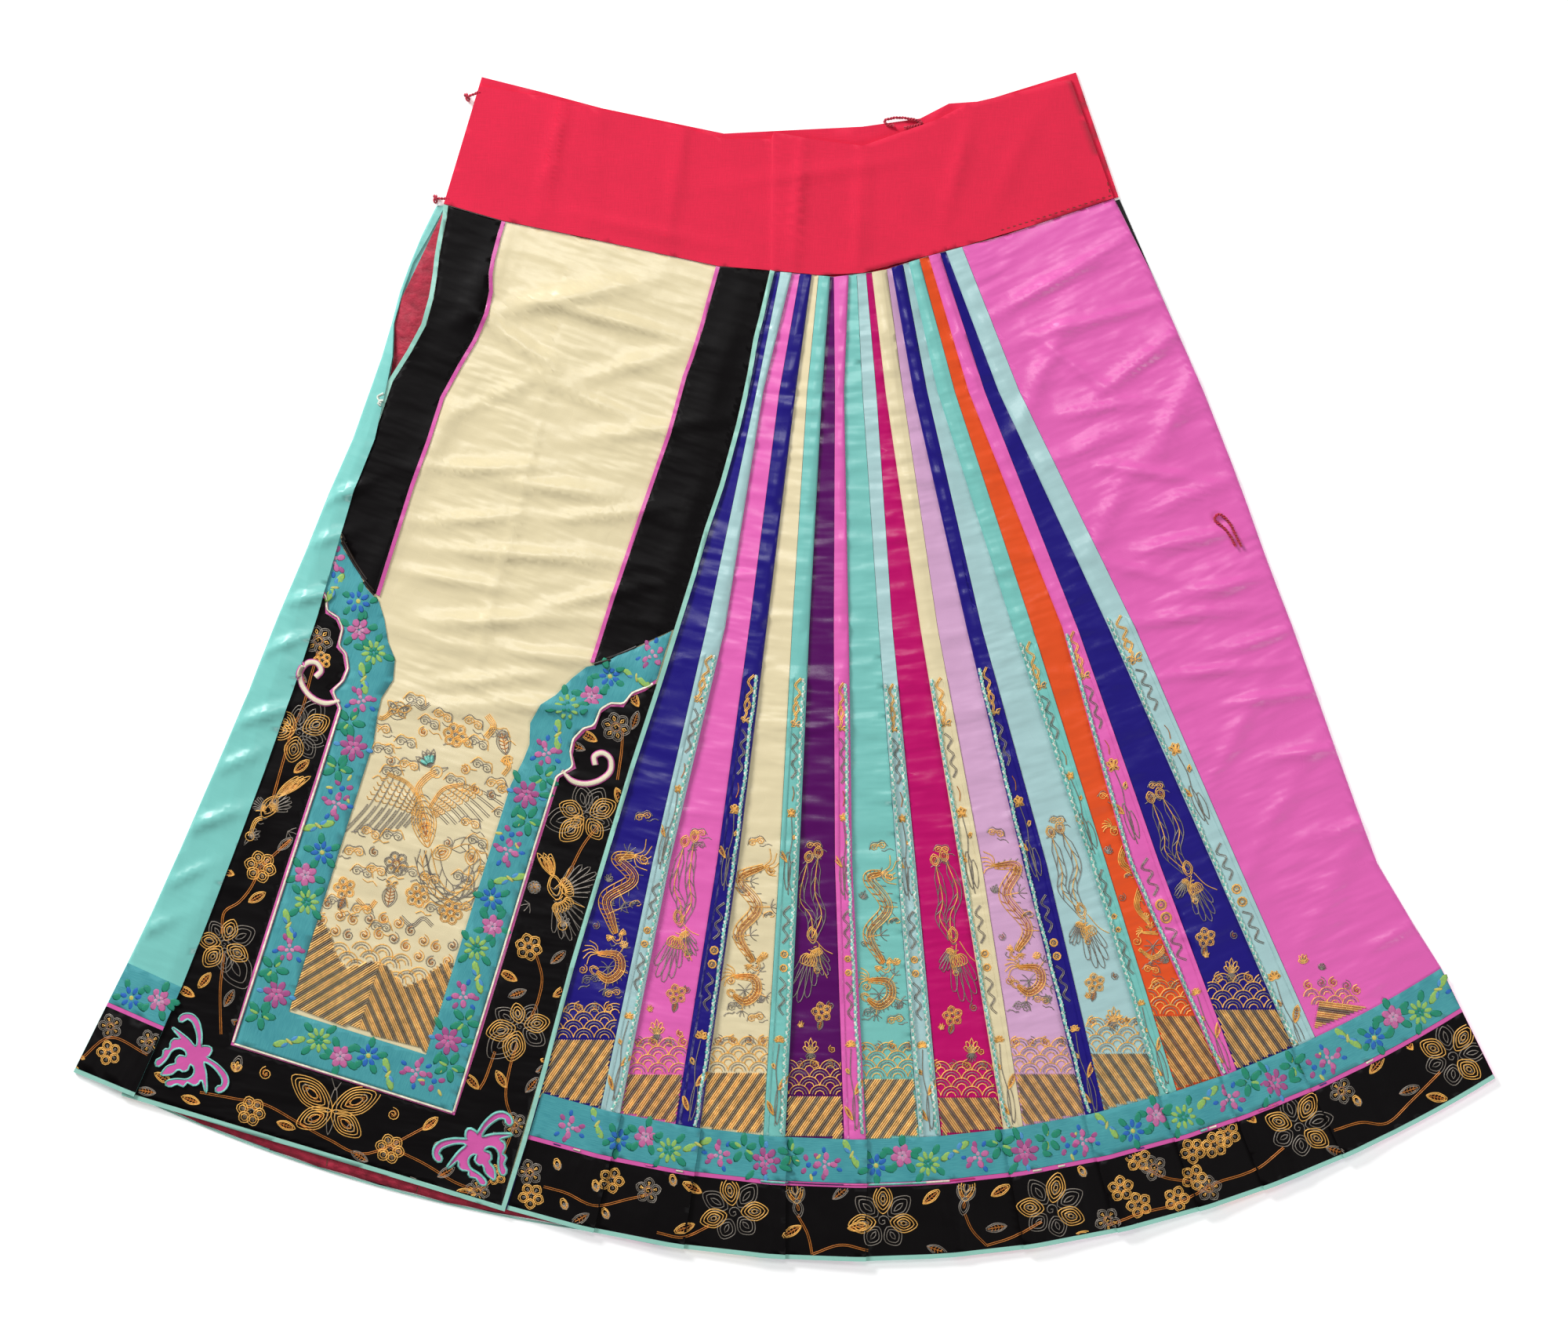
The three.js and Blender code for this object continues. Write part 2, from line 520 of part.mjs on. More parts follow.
// The two hooks and the two butterflies lie on the black border
function addDoorAppliques() {
  const raise = SKIN + TRIM + GAP;
  for (const [name, sign] of [['left', -1], ['right', 1]]) {
    const strip = HOOK_PATH.map(({ u, v }, i) => {
      const before = HOOK_PATH[Math.max(i - 1, 0)];
      const after = HOOK_PATH[Math.min(i + 1, HOOK_PATH.length - 1)];
      const run = Math.hypot(after.u - before.u, after.v - before.v);
      const half = HOOK_WIDTH / 2 / run;
      const across = [-(after.v - before.v) * half, (after.u - before.u) * half];
      return [-1, 1].map((side) => onDoor(sign * (u + side * across[0]), v + side * across[1], raise));
    });
    add(`door_hook_${name}`, sheet(strip, TRIM), 'piping');
    add(`door_corner_${name}`, butterfly(sign, raise), 'piping');
  }
}

// A butterfly cut flat, laid with its head towards the middle of the door
function butterfly(sign, raise) {
  const other = BUTTERFLY_HALF.slice(1).map(([a, b]) => [a, -b]).reverse();
  const outline = [...BUTTERFLY_HALF, ...other].map(([a, b]) => new THREE.Vector2(a, b));
  const geometry = new THREE.ExtrudeGeometry(new THREE.Shape(outline), { depth: TRIM, bevelEnabled: false });
  const points = geometry.getAttribute('position');
  for (let i = 0; i < points.count; i += 1) {
    const a = points.getX(i);
    const b = points.getY(i);
    const u = sign * (CORNER.u - a * Math.cos(CORNER.turn) + b * Math.sin(CORNER.turn));
    const v = CORNER.v - a * Math.sin(CORNER.turn) - b * Math.cos(CORNER.turn);
    const [x, y, z] = onDoor(u, v, raise);
    points.setXYZ(i, x, y, z + points.getZ(i));
  }
  if (sign > 0) turnInsideOut(geometry);
  geometry.computeVertexNormals();
  return geometry;
}

function turnInsideOut(geometry) {
  const points = geometry.getAttribute('position');
  for (let i = 0; i < points.count; i += 3) {
    const second = [points.getX(i + 1), points.getY(i + 1), points.getZ(i + 1)];
    points.setXYZ(i + 1, points.getX(i + 2), points.getY(i + 2), points.getZ(i + 2));
    points.setXYZ(i + 2, ...second);
  }
}

// Rows down the pleated front
const flatRow = (height) => ({ y: () => height, key: height });
const ROWS = {
  waist: { y: (x) => waistY(x) - WAIST_GAP, key: 1000 },
  hip: [flatRow(290), flatRow(HEIGHT.hip), flatRow(136)],
  knee: [flatRow(HEIGHT.thigh), flatRow(-68), flatRow(HEIGHT.knee)],
  shin: { y: (x) => (HEIGHT.knee + ribbonTopY(x)) / 2, key: -180 },
  braidEnd: { y: (x) => ribbonTopY(x) + BRAID_RAMP, key: -190 },
  ribbon: { y: ribbonTopY, key: -200 },
  hem: { y: frontHemY, key: -300 },
};
const BODY_ROWS = [ROWS.waist, ...ROWS.hip, ...ROWS.knee, ROWS.shin, ROWS.ribbon, ROWS.hem];

function boundaryTable({ x }) {
  return [
    { x: x.waist, y: waistY(x.waist) },
    { x: x.hip, y: HEIGHT.hip },
    { x: x.thigh, y: HEIGHT.thigh },
    { x: x.knee, y: HEIGHT.knee },
    { x: x.ribbon, y: ribbonTopY(x.ribbon) },
    { x: x.hem, y: frontHemY(x.hem) },
  ];
}

const doorEdgeTable = DOOR_ROWS.map(({ v, right }) => {
  const [x, y] = doorPoint(right, v);
  return { x, y };
});
const doorLeftTable = DOOR_ROWS.map(({ v, left }) => {
  const [x, y] = doorPoint(left, v);
  return { x, y };
});
const CURVES = [doorEdgeTable, ...BOUNDARIES.map(boundaryTable), RIGHT_FOLD];

// Where a boundary meets a row
function meet(boundary, row) {
  const curve = CURVES[boundary];
  let x = curve[0].x;
  let y = row.y(x);
  for (let i = 0; i < 30; i += 1) {
    x = piecewise(curve, 'y', 'x', y);
    y = row.y(x);
  }
  return [x, y];
}

// Sizes of one pleat face on one row: its fold, its seam and where it dives under its neighbour
function pleatFace({ fold, seam, other }, row) {
  const points = { fold: meet(fold, row), seam: meet(seam, row), other: meet(other, row) };
  const narrow = distance(points.fold, points.seam);
  const isPink = other === 21;
  const visible = isPink ? PINK_RUN : distance(points.seam, points.other);
  const tuck = Math.min(RETURN_SHARE * narrow, RETURN_MAX);
  const flatEnd = tuck + 1;
  const lowStart = narrow + visible - (isPink ? 0 : PLEAT_CLEAR);
  const at = (s) => (s <= narrow
    ? lerpPoint(points.fold, points.seam, s / narrow)
    : lerpPoint(points.seam, points.other, (s - narrow) / distance(points.seam, points.other)));
  const height = (s) => THREE.MathUtils.mapLinear(
    THREE.MathUtils.clamp(s, flatEnd, lowStart), flatEnd, lowStart, LEVEL.top, LEVEL.low);
  return { narrow, visible, tuck, flatEnd, lowStart, at, height };
}

function narrowGore(gore) {
  const rows = [
    ...BODY_ROWS, ROWS.braidEnd, flatRow(gore.braid + BRAID_RAMP), flatRow(gore.braid - BRAID_RAMP),
  ].sort((a, b) => b.key - a.key);
  const outer = [];
  const inner = [];
  for (const row of rows) {
    const face = pleatFace(gore, row);
    const { at, height, tuck, flatEnd, narrow } = face;
    const raised = row.key < gore.braid && row.key > ROWS.ribbon.key ? BRAID_HEIGHT : 0;
    const braidStart = Math.max(flatEnd + 0.5, narrow - BRAID_WIDTH - SHARP);
    const noseZ = (LEVEL.middle + LEVEL.top + CLOTH) / 2;
    const stations = [
      [tuck, LEVEL.middle, LEVEL.middle + CLOTH, 0],
      [FOLD_NOSE, LEVEL.middle, LEVEL.middle + CLOTH, SHARP],
      [0, noseZ, noseZ, FOLD_NOSE],
      [FOLD_NOSE, LEVEL.top + CLOTH, LEVEL.top, SHARP],
      [flatEnd, LEVEL.top + CLOTH, LEVEL.top, 0],
    ];
    for (const [s, extra] of [[braidStart, 0], [braidStart + SHARP, raised], [narrow - SEAM, raised]]) {
      stations.push([s, height(s) + CLOTH + extra, height(s), 0]);
    }
    outer.push(stations.map(([s, outside]) => lift(at(s), outside)));
    inner.push(stations.map(([s, , inside, shift]) => lift(at(s + shift), inside)));
  }
  return wall(outer, inner);
}

// A wide gore runs from its seam down to its hidden end under the neighbouring fold
function wideGore(gore) {
  const grid = BODY_ROWS.map((row) => {
    const { narrow, visible, lowStart, at, height } = pleatFace(gore, row);
    const hidden = hiddenDepth(gore.other, row);
    const stations = [narrow + SEAM, (narrow + lowStart) / 2, lowStart, narrow + visible + hidden];
    return stations.map((s) => lift(at(s), height(s)));
  });
  return sheet(grid, CLOTH);
}

// How far cloth runs on under the fold at a boundary
function hiddenDepth(boundary, row) {
  if (boundary === 0) return 10;
  const owner = GORES.find((gore) => !gore.wide && gore.fold === boundary);
  return pleatFace(owner, row).tuck;
}

function centreHeight(s, narrowest) {
  return LEVEL.low + CENTRE_RISE * THREE.MathUtils.smoothstep(s, PLEAT_CLEAR, narrowest);
}

function centreWide(gore) {
  const grid = BODY_ROWS.map((row) => {
    const seam = meet(gore.seam, row);
    const other = meet(gore.other, row);
    const width = distance(seam, other);
    const hidden = hiddenDepth(gore.other, row);
    return [width - SEAM, PLEAT_CLEAR, -hidden].map((s) => {
      return lift(lerpPoint(other, seam, s / width), centreHeight(s, width - SEAM));
    });
  });
  return sheet(grid, CLOTH);
}

function centreNarrow(gore) {
  const rows = [
    ...BODY_ROWS, ROWS.braidEnd, flatRow(gore.braid + BRAID_RAMP), flatRow(gore.braid - BRAID_RAMP),
  ].sort((a, b) => b.key - a.key);
  const z = LEVEL.low + CENTRE_RISE;
  const outer = [];
  const inner = [];
  for (const row of rows) {
    const left = meet(gore.left, row);
    const right = meet(gore.right, row);
    const width = distance(left, right);
    const braid = Math.min(BRAID_WIDTH, width / 2 - 1);
    const raised = row.key < gore.braid && row.key > ROWS.ribbon.key ? BRAID_HEIGHT : 0;
    const stations = [
      [SEAM, raised], [braid, raised], [braid + SHARP, 0],
      [width - braid - SHARP, 0], [width - braid, raised], [width - SEAM, raised],
    ];
    outer.push(stations.map(([s, extra]) => lift(lerpPoint(left, right, s / width), z + CLOTH + extra)));
    inner.push(stations.map(([s]) => lift(lerpPoint(left, right, s / width), z)));
  }
  return wall(outer, inner);
}

function addGores() {
  GORES.forEach((gore, i) => {
    const number = String(i + 1).padStart(2, '0');
    const make = gore.centre ? (gore.wide ? centreWide : centreNarrow) : (gore.wide ? wideGore : narrowGore);
    add(`gore_${number}`, make(gore), gore.colour, 0.4);
  });
}

// Pink end panel: seam to the last gore, flat top, right fold and the part turned under
const PINK_COLUMNS = [0.2, 0.4, 0.6, 0.8];
const LAST_GORE = GORES[19];

function pinkTop(row) {
  const face = pleatFace(LAST_GORE, row);
  const start = face.narrow + SEAM;
  const run = face.lowStart;
  const [x0, y0] = face.at(start);
  const [x1] = meet(21, row);
  const onRow = (x) => [x, row.y(x)];
  const runX = x0 + (run - start) * 0.98;
  const stations = [lift([x0, y0], face.height(start)), lift(onRow(runX), LEVEL.low)];
  for (const share of PINK_COLUMNS) {
    const [x, y] = onRow(THREE.MathUtils.lerp(runX, x1 - FOLD_NOSE, share));
    const fade = THREE.MathUtils.smoothstep(y, ribbonTopY(x) + 20, ribbonTopY(x) + 90);
    stations.push([x, y, LEVEL.low + fade * ridgeHeight(PINK_RIDGES, 'x', 'y', x, y)]);
  }
  return { stations, foldX: x1, onRow };
}

function addPinkPanel() {
  const half = (from, to) => flatRow((from + to) / 2);
  const rows = [
    ROWS.waist, flatRow(340), ROWS.hip[0], flatRow(264), ROWS.hip[1], flatRow(204), flatRow(170), ROWS.hip[2],
    flatRow(102), flatRow(68), ROWS.knee[0], half(34, -68), ROWS.knee[1], half(-68, -170), ROWS.knee[2],
    ROWS.shin, ROWS.ribbon, ROWS.hem,
  ];
  const outer = [];
  const inner = [];
  for (const row of rows) {
    const { stations, foldX, onRow } = pinkTop(row);
    const [underX] = meetCurve(pinkUnderX, row);
    const turn = [
      [FOLD_NOSE, LEVEL.low + CLOTH, LEVEL.low, SHARP],
      [0, LEVEL.low - SEAM, LEVEL.low - SEAM, FOLD_NOSE],
      [FOLD_NOSE, LEVEL.inner, LEVEL.inner + CLOTH, SHARP],
      [foldX - underX, LEVEL.inner, LEVEL.inner + CLOTH, 0],
    ];
    outer.push([
      ...stations.map(([x, y, z]) => [x, y, z + CLOTH]),
      ...turn.map(([s, outside]) => lift(onRow(foldX - s), outside)),
    ]);
    inner.push([...stations, ...turn.map(([s, , inside, shift]) => lift(onRow(foldX - s - shift), inside))]);
  }
  add('pink_panel', wall(outer, inner), 'pink', 0.4);
}

// Border strips over the pleated hem: their path steps down outside every fold
function borderSection(share) {
  const between = (pick) => lerpPoint(pick(ROWS.ribbon), pick(ROWS.hem), share);
  const section = [];
  const put = (pick, z, outer = pick) => section.push({
    inner: lift(between(pick), z + SKIN),
    outer: lift(between(outer), z + SKIN + TRIM),
  });
  const faceAt = (gore, measure) => (row) => {
    const face = pleatFace(gore, row);
    return face.at(measure(face));
  };
  const step = (gore, z) => put(faceAt(gore, () => -FOLD_CLEAR), z, faceAt(gore, () => -FOLD_CLEAR - TRIM));
  const facesLeft = [2, 4, 6, 8].map((fold) => GORES.find((gore) => !gore.wide && gore.fold === fold));
  const facesRight = [11, 13, 15, 17, 19].map((fold) => GORES.find((gore) => !gore.wide && gore.fold === fold));
  put(faceAt(facesLeft[0], (face) => face.narrow + face.visible - DOOR_CLEAR), LEVEL.low);
  for (const gore of facesLeft) {
    put(faceAt(gore, (face) => face.lowStart), LEVEL.low);
    put(faceAt(gore, (face) => face.flatEnd), LEVEL.top);
    step(gore, LEVEL.top);
    step(gore, LEVEL.low);
  }
  const centre = (boundary, z) => put((row) => meet(boundary, row), z);
  centre(9, LEVEL.low + CENTRE_RISE);
  centre(10, LEVEL.low + CENTRE_RISE);
  facesRight.forEach((gore) => {
    step(gore, LEVEL.low);
    step(gore, LEVEL.top);
    put(faceAt(gore, (face) => face.flatEnd), LEVEL.top);
    if (gore.other !== 21) put(faceAt(gore, (face) => face.lowStart), LEVEL.low);
  });
  const pinkCount = PINK_COLUMNS.length + 2;
  for (let i = 1; i < pinkCount; i += 1) {
    put((row) => pinkTop(row).stations[i].slice(0, 2), LEVEL.low);
  }
  put((row) => {
    const { foldX, onRow } = pinkTop(row);
    return onRow(foldX - SHARP);
  }, LEVEL.low);
  return section;
}

const BORDER_STRIPS = [
  { name: 'ribbon', from: 0, to: RIBBON_WIDTH - SEAM, colour: 'teal' },
  { name: 'piping', from: RIBBON_WIDTH + SEAM, to: RIBBON_WIDTH + PIPING_WIDTH, colour: 'piping' },
  {
    name: 'band', from: RIBBON_WIDTH + PIPING_WIDTH + GAP,
    to: BORDER_DEPTH - BINDING_WIDTH - SEAM, colour: 'black',
  },
  { name: 'binding', from: BORDER_DEPTH - BINDING_WIDTH + SEAM, to: BORDER_DEPTH, colour: 'mint' },
];

function addHemBorder() {
  for (const { name, from, to, colour } of BORDER_STRIPS) {
    const sections = [from, to].map((depth) => borderSection(depth / BORDER_DEPTH));
    const outer = sections.map((section) => section.map((point) => point.outer));
    const inner = sections.map((section) => section.map((point) => point.inner));
    add(`hem_${name}`, wall(outer, inner), colour);
  }
}

// Mint end panel: back part, left fold, then the top that climbs over the door's edge
const MINT_ROW_HEIGHTS = [374, 350, 325, 297, 268, 240, 197, 150, 100, 45, 0, -20, -90, -160, -215];
const MINT_FOOT = 54;
const HOOK_SWELL = { y: 0, reach: 60, high: 1.4 };
const MINT_ROWS = [
  { y: (x) => (x < -292 ? 399.5 : waistY(x) - WAIST_GAP) },
  ...MINT_ROW_HEIGHTS.map((height) => ({ y: () => height })),
  { y: (x) => lineY(MINT_LINES.ribbonTop, x) },
  { y: (x) => backHemY(x, 0), isHem: true },
];

function meetCurve(curveX, row) {
  let y = row.y(curveX(0));
  for (let i = 0; i < 30; i += 1) {
    y = row.y(curveX(y));
  }
  return [curveX(y), y];
}

function mintTop(row) {
  const fold = meetCurve(leftFoldX, row);
  const edge = meetCurve(mintEdgeX, row);
  const y = (fold[1] + edge[1]) / 2;
  const width = edge[0] - fold[0];
  const nose = Math.min(FOLD_NOSE, width * 0.45);
  const doorEdge = piecewise(doorLeftTable, 'y', 'x', y) - 1;
  const climbEnd = THREE.MathUtils.clamp(doorEdge - fold[0], nose + 0.6, width - 0.4);
  const swell = HOOK_SWELL.high * Math.exp(-(((y - HOOK_SWELL.y) / HOOK_SWELL.reach) ** 2));
  const climb = (OVER_DOOR + swell - LEVEL.inner) * THREE.MathUtils.smoothstep(330 - y, 0, 75);
  const at = (s) => lerpPoint(fold, edge, s / width);
  const stations = [
    [nose, LEVEL.inner], [(nose + climbEnd) / 2, LEVEL.inner + climb / 2],
    [climbEnd, LEVEL.inner + climb], [width, LEVEL.inner + climb],
  ];
  return { fold, nose, at, stations };
}

function addMintPanel() {
  const outer = [];
  const inner = [];
  for (const row of MINT_ROWS) {
    const { fold, nose, at, stations } = mintTop(row);
    const onRow = (x) => [x, row.isHem ? backHemY(x, BACK_BINDING + GAP) : row.y(x)];
    const hiddenRow = { y: (x) => onRow(x)[1] };
    const [endX] = meetCurve(mintUnderX, hiddenRow);
    const footX = fold[0] + MINT_FOOT;
    const under = [endX, (endX + footX) / 2, footX].map((x) => ({
      outside: lift(onRow(x), 0),
      inside: lift(onRow(x), CLOTH),
    }));
    under.push({ outside: lift(at(nose), 0), inside: lift(at(nose + 0.3), CLOTH) });
    const middle = (LEVEL.inner + CLOTH) / 2;
    const foldPair = { outside: lift(fold, middle), inside: lift(at(nose), middle) };
    const top = stations.map(([s, z], i) => ({
      outside: lift(at(s), z + CLOTH),
      inside: lift(at(i === 0 ? s + 0.3 : s), z),
    }));
    const section = [...under, foldPair, ...top];
    outer.push(section.map((pair) => pair.outside));
    inner.push(section.map((pair) => pair.inside));
  }
  add('mint_panel', wall(outer, inner), 'mint', 0.4);
}

function addMintBorder() {
  const [topRow, hemRow] = MINT_ROWS.slice(-2);
  const ends = [mintTop(topRow), mintTop(hemRow)];
  const depth = BORDER_STRIPS[3].to;
  for (const { name, from, to, colour } of BORDER_STRIPS) {
    const strip = [from, to].map((inset) => ends[0].stations.map(([s, z], i) => {
      const last = ends[1].stations[i];
      const share = inset / depth;
      const point = lerpPoint(ends[0].at(i === 0 ? 0.3 : s), ends[1].at(i === 0 ? 0.3 : last[0]), share);
      return lift(point, THREE.MathUtils.lerp(z, last[1], share) + SKIN);
    }));
    add(`mint_${name}`, sheet(strip, TRIM), colour);
  }
}

// Back: mirror of the front, plain, its underside flat on the table
const BACK_SHARES = [0, 0.125, 0.25, 0.375, 0.5, 0.625, 0.75, 0.875, 1];
const BACK_DOOR_WIDTH = { waist: 289, hem: 336 };
const BACK_DOOR_EDGE = [
  { x: 290, y: 407 }, { x: 306.5, y: 374 }, { x: 320, y: 345 }, { x: 331, y: 314 },
  { x: 345, y: 279 }, { x: 360, y: 238 }, { x: 437, y: 34 }, { x: 511, y: -178 }, { x: 575, y: -285 },
  { x: 606, y: -356 }, { x: 630, y: -410 },
];
const BACK_HEIGHTS = [310, 238, 136, 34, -68, -170, -260];
const BACK_ROWS = [
  { y: (x) => waistY(x) - BACK_WAIST_GAP },
  ...BACK_HEIGHTS.map((height) => ({ y: (x) => Math.min(height, waistY(x) - 2 * BACK_WAIST_GAP) })),
  { y: (x) => backHemY(x, BACK_BINDING + GAP) },
];
const backEdgeX = (y) => piecewise(BACK_DOOR_EDGE, 'y', 'x', y);
const backDoorLeftX = (y) => backEdgeX(y)
  - THREE.MathUtils.mapLinear(y, 400, -450, BACK_DOOR_WIDTH.waist, BACK_DOOR_WIDTH.hem);
const liningLeftX = (y) => (y > 262 ? mintEdgeX(y) + 0.6 : piecewise(doorLeftTable, 'y', 'x', y) + 2);

function backSheet(leftX, rightX, shares, rows) {
  return rows.map((row) => {
    const [x0] = meetCurve(leftX, row);
    const [x1] = meetCurve(rightX, row);
    return shares.map((share) => {
      const x = THREE.MathUtils.lerp(x0, x1, share);
      return [x, row.y(x)];
    });
  });
}

function layer(grid, z) {
  return grid.map((row) => row.map((point) => lift(point, z)));
}

function addBack() {
  const door = backSheet(backDoorLeftX, backEdgeX, BACK_SHARES, BACK_ROWS);
  add('back_door', sheet(layer(door, LEVEL.back), CLOTH), 'cream', 0.4);
  const pleats = backSheet((y) => mintUnderX(y) + GAP, (y) => backDoorLeftX(y) - GAP, BACK_SHARES, BACK_ROWS);
  add('back_pleats', sheet(layer(pleats, LEVEL.back), CLOTH), 'navy', 0.4);
  const shares = [0, 0.06, 0.15, 0.25, 0.35, 0.45, 0.55, 0.65, 0.75, 0.87, 1];
  const liningRows = [
    { y: (x) => Math.min(waistY(x) - BACK_WAIST_GAP, 398) },
    ...[320, 297, 268, 240, 190, 136, 34, -68, -170, -260].map((height) => ({
      y: (x) => Math.min(height, waistY(x) - 2 * BACK_WAIST_GAP),
    })),
    { y: (x) => backHemY(x, BACK_BINDING + GAP) },
  ];
  const lining = backSheet(liningLeftX, (y) => pinkUnderX(y) - 1, shares, liningRows);
  add('lining', sheet(layer(lining, LEVEL.inner), LINING), 'lining', 0.7);
}

function addBackBinding() {
  const strip = [];
  const [start, end] = [-561, 600];
  const steps = 48;
  for (let i = 0; i <= steps; i += 1) {
    const x = THREE.MathUtils.lerp(start, end, i / steps);
    strip.push([[x, backHemY(x, BACK_BINDING), 0], [x, backHemY(x, 0), 0]]);
  }
  add('back_hem_binding', sheet(strip, CLOTH), 'mint');
}

// Waistband: a back length and a front length
function bandGrid(table, base, shares) {
  return shares.map((share) => table.map(({ top, bottom, lift: raise = 0 }) => {
    const z = base.top + (base.seam - base.top) * share + raise * (1 - share * 0.35);
    return lift(lerpPoint(top, bottom, share), z);
  }));
}

function addWaistband() {
  const shares = [0, 0.33, 0.66, 1];
  add('waistband_back', sheet(bandGrid(BACK_BAND, { top: 0, seam: 0 }, [0, 1]), BACK_BAND_THICK), 'red', 0.8);
  add('waistband_front', sheet(bandGrid(FRONT_BAND, BAND_LEVEL, shares), FRONT_BAND_THICK), 'red', 0.8);
}

function cord(points, z) {
  const path = new THREE.CatmullRomCurve3(points.map(([x, y]) => new THREE.Vector3(x, y, z)));
  const section = new THREE.Shape().absarc(0, 0, CORD_RADIUS, 0, Math.PI * 2);
  const settings = { extrudePath: path, steps: 16, curveSegments: 3, bevelEnabled: false };
  return new THREE.ExtrudeGeometry(section, settings);
}

function addFastenings() {
  KNOTS.forEach(({ x, y, z, turn }, i) => {
    const profile = KNOT_PROFILE.map(([radius, along]) => new THREE.Vector2(radius, along));
    const knot = new THREE.LatheGeometry(profile, 10);
    knot.rotateZ(Math.PI / 2);
    knot.rotateZ(turn);
    knot.translate(x, y, z);
    add(`knot_button_${i + 1}`, knot, 'red', 0.8);
  });
  add('loop_back', cord(BACK_LOOP.points, BACK_LOOP.z), 'red', 0.8);
  add('loop_pink', cord(PINK_LOOP.points, PINK_LOOP.z), 'red', 0.8);
}

addBack();
addBackBinding();
addWaistband();
addMintPanel();
addMintBorder();
addGores();
addPinkPanel();
addHemBorder();
addDoor();
addDoorBorders();
addDoorFoot();
addDoorBinding();
addDoorAppliques();
addFastenings();

export default skirt;
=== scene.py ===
# %% [markdown]
# # A pleated apron skirt, laid flat
#
# The real skirt is silk satin on a cotton waistband. One embroidered door panel and twenty narrow and
# wide gores show, between two plain end panels. Gold and silver thread is couched on most of it.
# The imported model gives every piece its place. This lesson gives each one its cloth and its needlework.

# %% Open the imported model
import math

import bmesh
import bpy
import numpy as np
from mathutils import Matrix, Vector
from mathutils.bvhtree import BVHTree
from mathutils.geometry import tessellate_polygon


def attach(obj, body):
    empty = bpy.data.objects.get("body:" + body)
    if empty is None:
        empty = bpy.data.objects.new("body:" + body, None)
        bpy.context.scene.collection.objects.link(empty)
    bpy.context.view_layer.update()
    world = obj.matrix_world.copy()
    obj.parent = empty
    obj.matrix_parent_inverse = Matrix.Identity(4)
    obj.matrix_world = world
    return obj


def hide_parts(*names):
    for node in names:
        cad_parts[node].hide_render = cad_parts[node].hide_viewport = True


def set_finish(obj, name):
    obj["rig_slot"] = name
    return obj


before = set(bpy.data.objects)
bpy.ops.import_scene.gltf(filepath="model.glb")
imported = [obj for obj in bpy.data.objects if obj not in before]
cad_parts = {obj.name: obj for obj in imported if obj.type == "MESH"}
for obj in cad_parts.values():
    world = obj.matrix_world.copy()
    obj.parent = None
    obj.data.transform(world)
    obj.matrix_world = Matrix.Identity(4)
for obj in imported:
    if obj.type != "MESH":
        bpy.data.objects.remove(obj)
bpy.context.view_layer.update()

MM = 0.001

# %% [markdown]
# ## Camera, light and table
#
# The skirt is photographed from straight above. A camera far up with a long lens keeps its sides upright.
# The lens follows from how much of the table the picture takes in.

# %% Camera
PICTURE_WIDTH = 1.360
PICTURE_MIDDLE = (0, -0.0003)
CAMERA_HEIGHT = 4.0

camera = bpy.data.objects.new("camera", bpy.data.cameras.new("camera"))
camera.location = (*PICTURE_MIDDLE, CAMERA_HEIGHT)
camera.data.lens = camera.data.sensor_width * CAMERA_HEIGHT / PICTURE_WIDTH
bpy.context.scene.collection.objects.link(camera)
bpy.context.scene.camera = camera
print("lens", round(camera.data.lens, 1), "mm")

# %% Studio light
LAMPS = [
    {"name": "key", "place": (-2.6, 3.0, 2.2), "size": 1.3, "power": 215},
    {"name": "fill", "place": (2.4, -1.8, 1.8), "size": 1.6, "power": 50},
    {"name": "overhead", "place": (-0.4, 1.3, 3.3), "size": 0.9, "power": 30},
]
ROOM_LIGHT = 0.13


def add_lamp(name, place, size, power):
    lamp = bpy.data.objects.new(name, bpy.data.lights.new(name, "AREA"))
    lamp.data.size = size
    lamp.data.energy = power
    lamp.location = place
    lamp.rotation_euler = (-Vector(place)).to_track_quat("-Z", "Y").to_euler()
    bpy.context.scene.collection.objects.link(lamp)


for lamp in LAMPS:
    add_lamp(**lamp)

world = bpy.data.worlds.new("studio")
world.use_nodes = True
world.node_tree.nodes["Background"].inputs["Color"].default_value = (1, 1, 1, 1)
world.node_tree.nodes["Background"].inputs["Strength"].default_value = ROOM_LIGHT
bpy.context.scene.world = world
bpy.context.scene.view_settings.view_transform = "Standard"
print(len(LAMPS), "lamps")

# %% [markdown]
# ## A short way to write materials
#
# A material is a graph of nodes. Wiring each node by hand hides the idea, so two small classes do it.
# Wire is a number or colour in the graph, and Python's operators on it add Math nodes.
# Finish is one material: its node method adds any other node.


# %% Wire and Finish
class Wire:
    def __init__(self, finish, socket):
        self.finish = finish
        self.socket = socket

    def maths(self, operation, first, second):
        return self.finish.node("ShaderNodeMath", {"operation": operation}, [first, second])

    def __add__(self, other):
        return self.maths("ADD", self, other)

    def __radd__(self, other):
        return self.maths("ADD", other, self)

    def __sub__(self, other):
        return self.maths("SUBTRACT", self, other)

    def __rsub__(self, other):
        return self.maths("SUBTRACT", other, self)

    def __mul__(self, other):
        return self.maths("MULTIPLY", self, other)

    def __rmul__(self, other):
        return self.maths("MULTIPLY", other, self)


